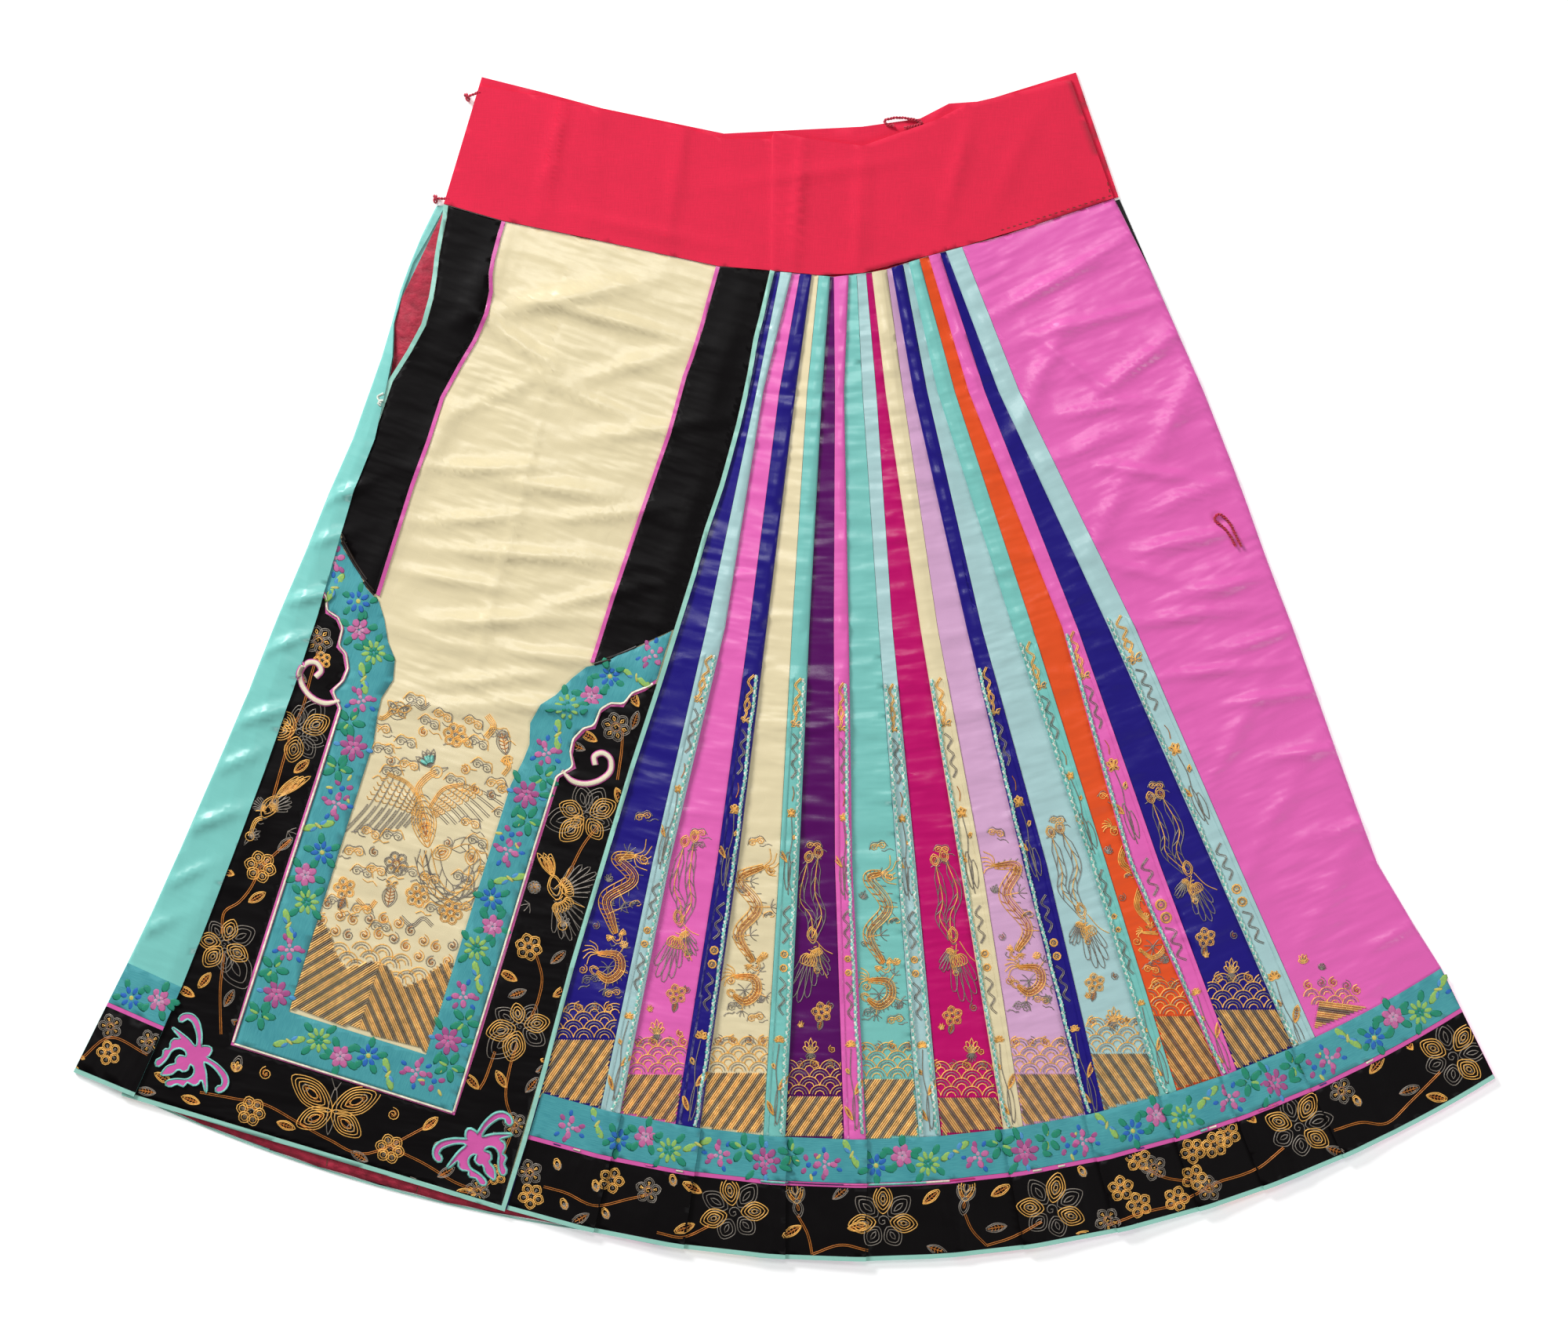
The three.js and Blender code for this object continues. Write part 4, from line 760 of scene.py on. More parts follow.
# %% Petals, leaves and flowers
def petal_line(length, width):
    half = width / 2
    side = [(half * 0.7, length * 0.22), (half, length * 0.52), (half * 0.62, length * 0.82)]
    mirrored = [(-x, y) for x, y in side[::-1]]
    return smooth([(0, 0), *side, (0, length), *mirrored], closed=True, steps=3)


def petal(length, width, thread="gold", inner="dark_gold"):
    """Gold petals are filled ring by ring; silver ones are a double outline round a small heart."""
    motif = [(thread, petal_line(length, width))]
    rings = 1 if thread == "silver" else max(1, int(width / 5))
    for i in range(1, rings + 1):
        share = 1 - i * 4.2 / width if rings > 1 else 0.7
        motif.append((thread, petal_line(length * share, width * share) + (0, length * (1 - share) * 0.5)))
    core = petal_line(length * 0.42, width * 0.22) + (0, length * 0.26)
    return motif + [(inner, core)]


def flower(count, reach, thread="gold", centre="silver", width=0.8):
    motif = []
    for i in range(count):
        one = petal(reach * 0.8, reach * width, thread, centre)
        motif += moved(moved(one, 0, reach * 0.2), turn=i * 360 / count + 12)
    return motif + [(centre, spiral(reach * 0.22, 1.2)), circle("dark_gold", reach * 0.3)]


def leaf(length, width, thread="gold", veins=4):
    rib = np.array([(0, 0), (0, length * 0.5), (0, length * 0.9)])
    motif = [(thread, petal_line(length, width)), (thread, petal_line(length * 0.86, width * 0.7) + (0, 1)),
             ("dark_gold", rib)]
    for i in range(veins):
        y = length * (0.2 + 0.6 * i / veins)
        vein = [(-width * 0.3, y + width * 0.2), (0, y), (width * 0.3, y + width * 0.2)]
        motif.append(("dark_gold", np.array(vein)))
    return motif


def stem(points, thread="dark_gold", gap=0.75):
    line = smooth(points)
    return [(thread, beside(line, gap)), (thread, beside(line, -gap))]


def bud(size, thread="gold", cup="silver"):
    side = petal(size * 0.6, size * 0.3, cup)
    return petal(size, size * 0.55, thread, cup) + moved(side, turn=28) + moved(side, turn=-28)


def blossom(centre, tips, width=0.62, thread="gold"):
    """A flower seen from the side: one petal from the centre out to each tip."""
    motif = []
    for tip in tips:
        reach = np.linalg.norm(np.subtract(tip, centre)) * 1.35
        one = moved(petal(reach * 0.86, reach * width, thread, "silver"), 0, reach * 0.14)
        motif += moved(one, *centre, turn=toward(centre, tip))
    return motif


# %% Clouds, waves and ribbons
def cloud(size, thread="gold", second="silver"):
    """Two coils under one brow, with a short drifting tail."""
    left = spiral(size * 0.56, 2.1, 0, 1) * (1.15, 0.9) + (-size * 0.52, 0)
    right = spiral(size * 0.56, 2.1, 180, -1) * (1.15, 0.9) + (size * 0.52, 0)
    brow = drawn(size, (-1.25, -0.2), (-0.75, 0.72), (0, 0.52), (0.75, 0.72), (1.25, -0.2))
    tail = drawn(size, (0.3, -0.6), (0.9, -0.8), (1.3, -0.5), (1.9, -0.9))
    return [(thread, left), (thread, right), (second, brow), (second, tail)]


def curl(size, thread="gold", turns=1.8):
    return [(thread, spiral(size, turns, 90, 1)), ("dark_gold", spiral(size * 0.62, turns * 0.7, 90, 1))]


def crest(radius, thread="gold", second="silver"):
    """Rings of one standing wave."""
    return [((thread, second)[i % 2], arc(radius * size, 6, 174)) for i, size in enumerate((1.0, 0.72, 0.44))]


def band_line(points, thread, count=3, pitch=1.5):
    line = smooth(points)
    return [(thread, beside(line, (i - (count - 1) / 2) * pitch)) for i in range(count)]


def bow(size, thread="gold", second="silver"):
    motif = [circle(second, size * 0.16)]
    for turn in (62, -62, 118, -118):
        reach = size * (0.72 if abs(turn) < 90 else 0.55)
        loop = [(thread, petal_line(reach, reach * 0.5)), (second, petal_line(reach * 0.8, reach * 0.3))]
        motif += moved(loop, turn=turn)
    return motif


def drifting_ribbon(length, swing, thread="gold"):
    """A ribbon that winds from side to side down a narrow gore."""
    count = int(length / 6.5) + 1
    points = [(swing * (-1) ** i * (1 - 0.3 * i / count), -6.5 * i) for i in range(count)]
    return band_line(points, thread, 2, 1.2)


def coin(radius):
    side = radius * 0.34
    square = np.array([(-side, -side), (side, -side), (side, side), (-side, side), (-side, -side)])
    rings = [circle("gold", radius), circle("gold", radius * 0.84), circle("silver", radius * 0.62)]
    return rings + [("gold", square)]


# %% Sprays of the narrow gores
SWING_SHARE = 0.17


def fan(reach, width, y, petals):
    """Gold petals that open from one point, each with its turn and size."""
    motif = []
    for turn, size in petals:
        motif += moved(petal(reach * size, reach * width * size), 0, y, turn)
    return motif


def ribbon_spray(width):
    swing = width * SWING_SHARE
    motif = drifting_ribbon(34, swing, "gold") + moved(bow(width * 0.55), 0, -40)
    motif += moved(drifting_ribbon(20, swing * 0.7, "gold"), -swing * 0.6, -20)
    return motif + moved(drifting_ribbon(40, swing, "silver"), 0, -48, flip=True)


def iris_spray(width):
    reach = width * 0.3
    motif = [("dark_gold", smooth([(0, 0), (1.5, -6), (0, -13)]))]
    motif += fan(reach, 0.62, -24, ((0, 1.2), (44, 1.1), (-44, 1.1), (128, 0.9), (-128, 0.9)))
    motif += moved(bud(reach * 1.1, "gold", "silver"), reach * 0.55, -46, -24)
    motif += moved(leaf(15, width * 0.24), -reach * 0.5, -66, 34)
    for x, size in ((-1.6, 34), (2.6, 26)):
        motif.append(("silver", petal_line(size, 5.5) + (x, -90)))
    return motif + [("silver", smooth([(0, -26), (1.5, -46), (-1, -66), (0, -94)]))]


def coin_spray(width):
    swing = width * SWING_SHARE
    motif = drifting_ribbon(38, swing, "silver")
    for y in (-42, -54):
        motif += moved(coin(width * 0.2), 0, y)
    return motif + moved(drifting_ribbon(34, swing, "silver"), 0, -62, flip=True)


def lotus_spray(width):
    reach = width * 0.32
    motif = fan(reach, 0.55, -20, ((0, 1.1), (36, 1.05), (-36, 1.05), (74, 0.95), (-74, 0.95)))
    motif += moved(bud(reach * 1.1, "gold", "silver"), -reach * 0.5, -44, 24)
    motif += moved(leaf(16, width * 0.28), reach * 0.3, -62, -30)
    motif += moved(leaf(14, width * 0.22), -reach * 0.3, -84, 26)
    motif.append(("silver", petal_line(34, 5.5) + (1.8, -92)))
    return motif + [("silver", smooth([(0, -22), (-1.5, -44), (1, -66), (0, -93)]))]


# %% Dragon and phoenix
def claw(size, thread="silver"):
    toes = []
    for angle in (-1.2, -0.5, 0.2, 0.9):
        x, y = math.sin(angle) * size, math.cos(angle) * size
        toes.append((thread, smooth([(0, 0), (x * 0.7, y * 0.55), (x, y)])))
    return toes


def flames(size, thread="gold"):
    motif = []
    for turn, reach in ((-50, 0.7), (-24, 0.9), (0, 1.0), (24, 0.9), (50, 0.7)):
        motif += moved([(thread, petal_line(size * reach, size * 0.26)),
                        ("silver", petal_line(size * reach * 0.6, size * 0.12))], turn=turn)
    return motif


def dragon_head(size):
    skull = drawn(size, (-0.5, 0), (-0.55, -0.5), (-0.25, -1.05), (0.25, -1.05), (0.55, -0.5), (0.5, 0))
    snout = drawn(size, (-0.34, -0.1), (-0.36, -0.5), (0, -0.86), (0.36, -0.5), (0.34, -0.1))
    motif = [("gold", skull), ("gold", snout)]
    for side in (-1, 1):
        motif.append(("silver", arc(size * 0.14, 0, 360, side * size * 0.26, -size * 0.34)))
    for side in (-1, 1):
        motif.append(("silver", drawn(size, (side * 0.2, -1), (side * 0.8, -1.2), (side * 0.9, -0.7))))
    motif.append(("dark_gold", arc(size * 0.16, 180, 360, 0, -size * 0.7)))
    tuft = [("gold", petal_line(size * 0.8, size * 0.2))]
    for side in (-1, 1):
        motif.append(("silver", drawn(size, (side * 0.3, 0), (side * 0.5, 0.6), (side * 0.35, 1))))
        for turn in (60, 84, 108):
            motif += moved(tuft, side * size * 0.4, -size * 0.2, -side * turn)
    return motif


def dragon(path, thick):
    """Scaled body along a path from the tail fin to the head."""
    line = smooth(path, steps=9)
    share = np.linspace(0, 1, len(line))
    half = thick * (0.4 + 0.75 * np.sin(share * np.pi) ** 0.7)
    left, right = beside(line, half), beside(line, -half)
    motif = [("gold", left), ("gold", right)]
    for i, place in enumerate((0.66, 0.33, 0, -0.33)):
        motif.append(("gold" if i % 2 else "dark_gold", beside(line, half * place)))
    for i in range(1, len(line) - 1, 2):
        ahead = line[i + 1] + (line[i + 1] - line[i]) * 0.4
        motif.append(("dark_gold", smooth([beside(line, half * 0.4)[i], ahead, right[i]], steps=3)))
        spike = left[i] + (left[i] - line[i]) * 0.7 + (line[i] - line[i - 1]) * 0.8
        motif.append(("silver", np.array([left[i], spike])))
    for place in (0.26, 0.5, 0.76):
        i = int(place * len(line))
        side = (-1) ** int(place * 9)
        hip = beside(line, half * side)[i]
        out = hip + (hip - line[i]) * 1.4
        motif.append(("gold", smooth([line[i], hip, out])))
        motif += moved(claw(thick * 1.7), *out, turn=toward(line[i], out))
    for turn in (-60, -34, -10, 16, 42):
        strand = drawn(thick, (0, 0), (0.7, 1.8), (-0.4, 3.6))
        motif += moved([("gold", strand)], *line[0], turn=toward(line[2], line[0]) + turn)
    return motif + moved(dragon_head(thick * 1.7), *line[-1], turn=toward(line[-1], line[-4]))


def wing(span, feathers, spread, thread="silver"):
    """A fan of long feathers under two rows of short gold ones, opening upwards."""
    motif = []
    for i in range(feathers):
        share = i / (feathers - 1)
        turn = -spread / 2 + spread * share
        reach = span * (0.7 + 0.3 * math.sin(share * math.pi * 0.9 + 0.3))
        tip = span * 0.05
        one = [(thread, smooth([(-tip, reach * 0.34), (-tip, reach * 0.86), (0, reach), (tip, reach * 0.86),
                                (tip, reach * 0.34)]))]
        one += moved([("gold", petal_line(span * 0.2, span * 0.12))], 0, span * 0.2)
        motif += moved(one, turn=turn)
    motif.append(("gold", drawn(span, (-0.1, 0), (-0.2, 0.3), (-0.36, 0.5))))
    half = spread * 0.6
    return motif + [("gold", arc(span * reach, 90 - half, 90 + half)) for reach in (0.14, 0.2)]


def plume(path, barb=3.6):
    line = smooth(path)
    motif = [("gold", line)]
    left, right = beside(line, barb), beside(line, -barb)
    motif += [("silver", left[2:]), ("silver", right[2:])]
    for i in range(2, len(line) - 2, 3):
        motif += [("silver", np.array([line[i - 2], side[i]])) for side in (left, right)]
    return motif + moved(petal(barb * 3, barb * 2.2), *line[0], turn=toward(line[3], line[0]))


def bird(body, head, wing_tips, tails, size):
    """A bird from its body, head, wing tips and tail lines."""
    body, head = np.array(body), np.array(head)
    turn = toward(body, head)
    trunk = [("gold", petal_line(size * 1.7, size)), ("gold", petal_line(size * 1.3, size * 0.7) + (0, 1.6))]
    motif = moved(trunk, *(body - (head - body) * 0.55), turn)
    for share in (0.1, 0.35, 0.6, 0.85):
        place = body + (head - body) * (share - 0.4) * 0.8
        motif += moved([("silver", arc(size * 0.3, 20, 160))], *place, turn)
    side = np.array([head[1] - body[1], body[0] - head[0]]) * 0.12
    motif += band_line([body + (head - body) * 0.3, (body + head) / 2 + side, head], "gold", 3, 1.4)
    beak = np.array([(0.1, 0.3), (0, 0.75), (-0.1, 0.3)]) * size
    motif += moved([circle("gold", size * 0.3), circle("silver", size * 0.12), ("silver", beak)], *head, turn)
    motif += moved(flames(size * 0.8, "silver"), *head, turn + 150)
    for tip in wing_tips:
        span = np.linalg.norm(np.subtract(tip, body))
        motif += moved(wing(span, 7, 62), *body, turn=toward(body, tip))
    for line in tails:
        motif += plume(line)
    return motif


def butterfly(size):
    motif = [("silver", petal_line(size * 0.9, size * 0.16) - (0, size * 0.45))]
    for side in (-1, 1):
        for turn, reach, wide in ((58, 1.0, 0.5), (122, 0.72, 0.42)):
            eye = ("silver", arc(size * 0.07, 0, 360, 0, size * reach * 0.66))
            motif += moved([*petal(size * reach, size * wide), eye], turn=-side * turn)
        motif.append(("silver", drawn(size, (0, 0.4), (side * 0.2, 0.75), (side * 0.45, 0.8))))
    return motif


def long_wing(arm, tips, count):
    """Long silver feathers from an arm to a line of tips, with rows of gold scales over the arm."""
    arm, tips = stepped(smooth(arm), 1.0), stepped(smooth(tips), 1.0)
    motif = [("gold", arm), ("gold", beside(arm, 1.3)), ("gold", beside(arm, -1.3))]
    for i in range(count):
        share = i / (count - 1)
        start = arm[int(share * (len(arm) - 1))]
        end = tips[int(share * (len(tips) - 1))]
        bend = (start + end) / 2 + (start - end)[::-1] * (0.05, -0.05)
        quill = smooth([start, bend, end])
        motif += [("silver", beside(quill, 0.9)), ("silver", beside(quill, -0.9)[len(quill) // 2:])]
        for reach in (0.08, 0.16, 0.24, 0.32, 0.4):
            place = start + (end - start) * reach
            motif += moved([("gold", arc(2.6, 200, 340))], *place, turn=toward(start, end) + 180)
    return motif


print("a cloud takes", len(cloud(1.0)), "lines, a dragon's head", len(dragon_head(1.0)))

# %% [markdown]
# ## Gold and silver thread
#
# Real gold thread is gilt paper wound on silk. It is too stiff to pass through satin, so it is laid on top
# and caught down by tiny stitches. Here each line becomes a fine raised cord that follows the cloth below.
# One node tree turns all lines of a panel into cords, so the thickness can be changed in one place.

# %% Needlework on each panel
THREADS = {
    "gold": {"colour": rgb(255, 194, 98), "metal": 0.15, "radius": 0.52},
    "dark_gold": {"colour": rgb(206, 126, 52), "metal": 0.35, "radius": 0.46},
    "silver": {"colour": rgb(150, 142, 132), "metal": 0.4, "radius": 0.46},
    "water_gold": {"colour": rgb(255, 204, 126), "metal": 0.35, "radius": 1.02},
    "water_dark": {"colour": rgb(146, 130, 108), "metal": 0.3, "radius": 1.0},
    "pale": {"colour": rgb(226, 234, 222), "metal": 0.0, "radius": 1.25},
    "mint": {"colour": rgb(122, 204, 190), "metal": 0.0, "radius": 1.3},
    "black": {"colour": rgb(14, 11, 13), "metal": 0.0, "radius": 1.7},
    "pink": {"colour": rgb(222, 96, 168), "metal": 0.0, "radius": 0.8},
    "cream": {"colour": rgb(244, 236, 212), "metal": 0.0, "radius": 1.1},
    "navy": {"colour": rgb(32, 28, 120), "metal": 0.0, "radius": 0.7},
    "purple": {"colour": rgb(84, 8, 96), "metal": 0.0, "radius": 0.7},
    "magenta": {"colour": rgb(190, 8, 104), "metal": 0.0, "radius": 0.7},
    "orange": {"colour": rgb(238, 90, 44), "metal": 0.0, "radius": 0.7},
    "brown": {"colour": rgb(96, 62, 44), "metal": 0.0, "radius": 0.4},
}
STITCH_STEP = 2.8
RAISED = 0.45

lines_on = {}


def couch(host, motif, x=0.0, y=0.0, turn=0.0, size=1.0, flip=False):
    lines_on.setdefault(host, []).extend(moved(motif, x, y, turn, size, flip))


def couch_at(host, motif, column, row, turn=0.0, size=1.0, flip=False):
    couch(host, motif, *spot(column, row), turn, size, flip)


def laid_runs(line, host, radius):
    """Parts of a line where its own panel is on top, as points on the cloth."""
    runs, run = [], []
    for x, y in stepped(line, STITCH_STEP):
        z, node = land(x, y)
        if node == host:
            run.append((x * MM, y * MM, z + radius * RAISED * MM))
        elif run:
            runs.append(run)
            run = []
    return [part for part in [*runs, run] if len(part) > 1]


def node_tree(name, inputs, result, nodes, links):
    """A node tree. Every node has a short name, its type, its settings and the values of its sockets."""
    tree = bpy.data.node_groups.new(name, "GeometryNodeTree")
    for socket, kind in zip(inputs, ("NodeSocketGeometry", "NodeSocketFloat")):
        tree.interface.new_socket(socket, in_out="INPUT", socket_type=kind)
    tree.interface.new_socket(result, in_out="OUTPUT", socket_type="NodeSocketGeometry")
    made = {"start": tree.nodes.new("NodeGroupInput"), "end": tree.nodes.new("NodeGroupOutput")}
    for key, (kind, settings, values) in nodes.items():
        made[key] = tree.nodes.new(kind)
        for setting, value in settings.items():
            setattr(made[key], setting, value)
        for socket, value in values.items():
            made[key].inputs[socket].default_value = value
    for first, output, second, socket in links:
        tree.links.new(made[first].outputs[output], made[second].inputs[socket])
    size = next(item.identifier for item in tree.interface.items_tree if item.name == inputs[1])
    return tree, size


def grown(source, tree, socket):
    """The mesh that a node tree makes from a source mesh, at its true size."""
    holder = bpy.data.objects.new(source.name, source)
    bpy.context.scene.collection.objects.link(holder)
    modifier = holder.modifiers.new("made", "NODES")
    modifier.node_group = tree
    modifier[socket] = 1.0
    result = bpy.data.meshes.new_from_object(holder.evaluated_get(bpy.context.evaluated_depsgraph_get()))
    holder.modifiers.remove(modifier)
    bpy.data.objects.remove(holder)
    return result


def thread_finish():
    finish = Finish("couched_thread", Specular_IOR_Level=0.5)
    place = finish.node("ShaderNodeTexCoord", output=3)
    dye, metal = finish.colour_on("dye"), finish.number_on("metal")
    wear = finish.noise(place, (160, 160, 160), 4, 0.7)
    twist = finish.noise(place, (900, 900, 900), 1)
    # Painted glints: in patches the thread's colour rises to 1.3 times its dye, as painted highlights of the
    # thread's shine.
    painted_glints = finish.noise(place, (70, 70, 70), 2)
    painted_highlight = finish.node("ShaderNodeVectorMath", {"operation": "SCALE"}, {"Vector": dye, "Scale": 1.3})
    dark = finish.mix(0.7, dye, (0.05, 0.025, 0.01, 1))
    tone = finish.mix((painted_glints - 0.4) * 4, dye, painted_highlight)
    finish.feed("Base Color", finish.mix(wear * 1.7 + twist * 0.3 - 0.72, tone, dark))
    finish.feed("Metallic", metal * (1.25 - wear * 0.5))
    finish.feed("Roughness", 0.36 + twist * 0.16)
    return finish.material


thread_material = thread_finish()
CORD_NODES = {
    "curve": ("GeometryNodeMeshToCurve", {}, {}),
    "ring": ("GeometryNodeCurvePrimitiveCircle", {}, {"Resolution": 3, "Radius": 1.0}),
    "sweep": ("GeometryNodeCurveToMesh", {}, {"Fill Caps": True}),
    "radius": ("GeometryNodeInputNamedAttribute", {}, {"Name": "thread_radius"}),
    "scaled": ("ShaderNodeMath", {"operation": "MULTIPLY"}, {}),
    "size": ("GeometryNodeSetCurveRadius", {}, {}),
    "real": ("GeometryNodeRealizeInstances", {}, {}),
    "paint": ("GeometryNodeSetMaterial", {}, {"Material": thread_material}),
}
CORD_LINKS = [
    ("start", "Lines", "curve", "Mesh"), ("radius", "Attribute", "scaled", 0),
    ("start", "Thickness", "scaled", 1), ("curve", "Curve", "size", "Curve"),
    ("scaled", 0, "size", "Radius"), ("size", "Curve", "sweep", "Curve"),
    ("ring", "Curve", "sweep", "Profile Curve"), ("scaled", 0, "sweep", "Scale"),
    ("sweep", "Mesh", "real", "Geometry"), ("real", "Geometry", "paint", "Geometry"),
    ("paint", "Geometry", "end", "Cords"),
]
cord_nodes, thickness = node_tree("laid_cord", ("Lines", "Thickness"), "Cords", CORD_NODES, CORD_LINKS)


def cord_mesh(name, runs):
    """Lines for cords: each run has its points in metres and its thread's radius in millimetres."""
    points, edges, radii = [], [], []
    for run, radius in runs:
        first = len(points)
        points.extend(run)
        edges.extend((first + i, first + i + 1) for i in range(len(run) - 1))
        radii.extend([radius * MM] * len(run))
    mesh = bpy.data.meshes.new(name)
    mesh.from_pydata(points, edges, [])
    set_values(mesh, "thread_radius", "FLOAT", radii)
    return mesh


def sew(host, slot):
    """Makes the cords of one panel and returns the piece."""
    runs, facts = [], []
    for thread, line in lines_on.pop(host):
        radius = THREADS[thread]["radius"]
        for run in laid_runs(line, host, radius):
            runs.append((run, radius))
            facts.extend([THREADS[thread]] * len(run))
    if not runs:
        return None
    mesh = cord_mesh(host + "_lines", runs)
    set_values(mesh, "dye", "FLOAT_COLOR", [part for fact in facts for part in fact["colour"]])
    set_values(mesh, "metal", "FLOAT", [fact["metal"] for fact in facts])
    cords = grown(mesh, cord_nodes, thickness)
    cords.name = host + "_needlework"
    return add_object(host + "_needlework", cords, thread_material, slot)


print(len(THREADS), "threads")

# %% [markdown]
# ## Narrow gores
#
# Every narrow gore carries the same four sprays one under the other: a knotted ribbon, an iris, two coins
# on a ribbon and a lotus. They hang down the middle of the gore and grow with its width.
# A braid of two strands, one mint and one white, covers the seam beside it.

# %% Sprays and braids
BRAID_START = {2: 10, 4: -7, 6: -10, 8: -14, 10: -15, 12: -10, 14: -1, 16: 21, 18: 30, 20: 43}
SPRAYS = [(0, ribbon_spray), (95, iris_spray), (200, coin_spray), (299, lotus_spray)]
MIDDLE_GORE = 10
SPRAY_PITCH = 0.985
BRAID_PITCH = 6.5
BRAID_STEP = 0.9
BRAID_SWING = 1.15


def gore_line(node, share):
    """A line down a gore, share of the way across it, from top to foot."""
    rows = spans[node]
    return np.stack([rows[:, 1] + (rows[:, 2] - rows[:, 1]) * share, rows[:, 0]], 1)


def middle_at(node, y):
    left, right = across_gore(node, y)
    return (left + right) / 2, right - left


def add_sprays(number, start):
    node = gore(number)
    for down, spray in SPRAYS:
        y = start - down * SPRAY_PITCH
        width = middle_at(node, y - 40)[1]
        upper, lower = middle_at(node, y)[0], middle_at(node, y - 80)[0]
        couch(node, spray(width), upper, y, math.degrees(math.atan2(lower - upper, 80)))


def braid_sides(number):
    """The braid is nearer the middle of the pleats, and on both sides of the gore in the middle."""
    if number == MIDDLE_GORE:
        return (0, 1)
    return (1,) if number < MIDDLE_GORE else (0,)


def add_braid(number, start):
    node = gore(number)
    for side in braid_sides(number):
        line = np.array([point for point in gore_line(node, side) if point[1] < start + 14])
        inward = 2.3 if side == 1 else -1.9
        line = beside(stepped(line, BRAID_STEP), -inward)
        foot = np.array([ribbon_top(x) for x in line[:, 0]]) + 1
        line = line[(line[:, 1] < start) & (line[:, 1] > foot)]
        phase = np.arange(len(line)) * BRAID_STEP / BRAID_PITCH * 2 * np.pi
        swing = np.sin(phase) * BRAID_SWING
        couch(node, [("mint", beside(line, swing)), ("pale", beside(line, -swing))])


for number, start in BRAID_START.items():
    add_sprays(number, start)
    add_braid(number, start)
print(len(BRAID_START), "narrow gores")

# %% [markdown]
# ## Wide gores
#
# Dragons and phoenixes take turns along the hem. Clouds float above, flames and flowers below, and standing
# waves rise from slanting stripes of deep water.

# %% Dragons and phoenixes
DRAGONS = [
    {"number": 1, "clouds": [(821, 1041), (754, 1249), (782, 1266)], "waves": 1300,
     "body": [(809, 1090), (786, 1094), (809, 1120), (771, 1144), (777, 1170), (785, 1190)],
     "coil": (776, 1233)},
    {"number": 5, "clouds": [(965, 1073), (939, 1283), (964, 1297)], "waves": 1342,
     "body": [(974, 1104), (940, 1121), (966, 1156), (940, 1190), (961, 1226)], "coil": (950, 1262)},
    {"number": 9, "clouds": [(1120, 1079), (1112, 1291), (1142, 1300)], "waves": 1350,
     "body": [(1124, 1112), (1106, 1120), (1132, 1156), (1106, 1190), (1127, 1228)], "coil": (1121, 1267)},
    {"number": 13, "clouds": [(1270, 1062), (1303, 1284), (1328, 1275)], "waves": 1344,
     "body": [(1268, 1104), (1297, 1106), (1280, 1141), (1312, 1182), (1297, 1212)], "coil": (1312, 1250)},
    {"number": 17, "clouds": [(1411, 1016), (1484, 1222), (1468, 1236)], "waves": 1270,
     "body": [(1416, 1054), (1438, 1063), (1428, 1098), (1456, 1121), (1450, 1154), (1468, 1178)],
     "coil": (1470, 1206)},
]
PHOENIXES = [
    {"number": 3, "cloud_at": (891, 1062), "waves": 1344, "body": (868, 1180), "head": (877, 1217),
     "wings": [(845, 1214), (888, 1212)], "tail": [(882, 1080), (872, 1120), (876, 1150), (868, 1176)],
     "flower_at": (863, 1267), "flame": (838, 1318)},
    {"number": 7, "cloud_at": (1038, 1078), "waves": 1372, "body": (1037, 1201), "head": (1042, 1237),
     "wings": [(1018, 1240), (1056, 1238)],
     "tail": [(1040, 1100), (1032, 1136), (1042, 1166), (1036, 1196)], "flower_at": (1048, 1290),
     "flame": (1034, 1342)},
    {"number": 11, "cloud_at": (1201, 1083), "waves": 1374, "body": (1216, 1202), "head": (1219, 1240),
     "wings": [(1238, 1240), (1202, 1234)],
     "tail": [(1204, 1104), (1214, 1138), (1206, 1168), (1214, 1196)], "flower_at": (1215, 1295),
     "flame": (1239, 1342)},
    {"number": 15, "cloud_at": (1348, 1046), "waves": 1318, "body": (1380, 1168), "head": (1387, 1200),
     "wings": [(1408, 1196), (1368, 1200)],
     "tail": [(1352, 1068), (1366, 1102), (1362, 1132), (1378, 1162)], "flower_at": (1396, 1253),
     "flame": (1420, 1302)},
    {"number": 19, "cloud_at": (1474, 1002), "waves": 1262, "body": (1516, 1115), "head": (1524, 1148),
     "wings": [(1545, 1136), (1500, 1140)],
     "tail": [(1480, 1024), (1496, 1056), (1494, 1084), (1512, 1110)], "flower_at": (1537, 1195),
     "flame": (1570, 1240)},
]
WATER_TONES = ("water_gold", "water_gold", "water_gold", "water_dark", "water_dark")
WATER_PITCH = 1.75
WATER_SLOPE = 0.7
WAVE_RADIUS = 9.0
FILL_STEP = 19.0


def water_tone(i):
    return WATER_TONES[i % len(WATER_TONES)]


def slope_of(number):
    """Deep water slants towards the middle of the pleats."""
    return 1 if number < MIDDLE_GORE else -1


def deep_water(node, top, foot, slope, x_range):
    """Slanting stripes of gold and silver between two heights."""
    reach = WATER_SLOPE * (top - foot)
    step = WATER_PITCH * math.hypot(1, WATER_SLOPE)
    start = x_range[0] - (reach if slope > 0 else 0)
    motif = []
    for i in range(int((x_range[1] - x_range[0] + reach) / step)):
        x = start + i * step
        motif.append((water_tone(i), np.array([(x, foot), (x + slope * reach, top)])))
    couch(node, motif)


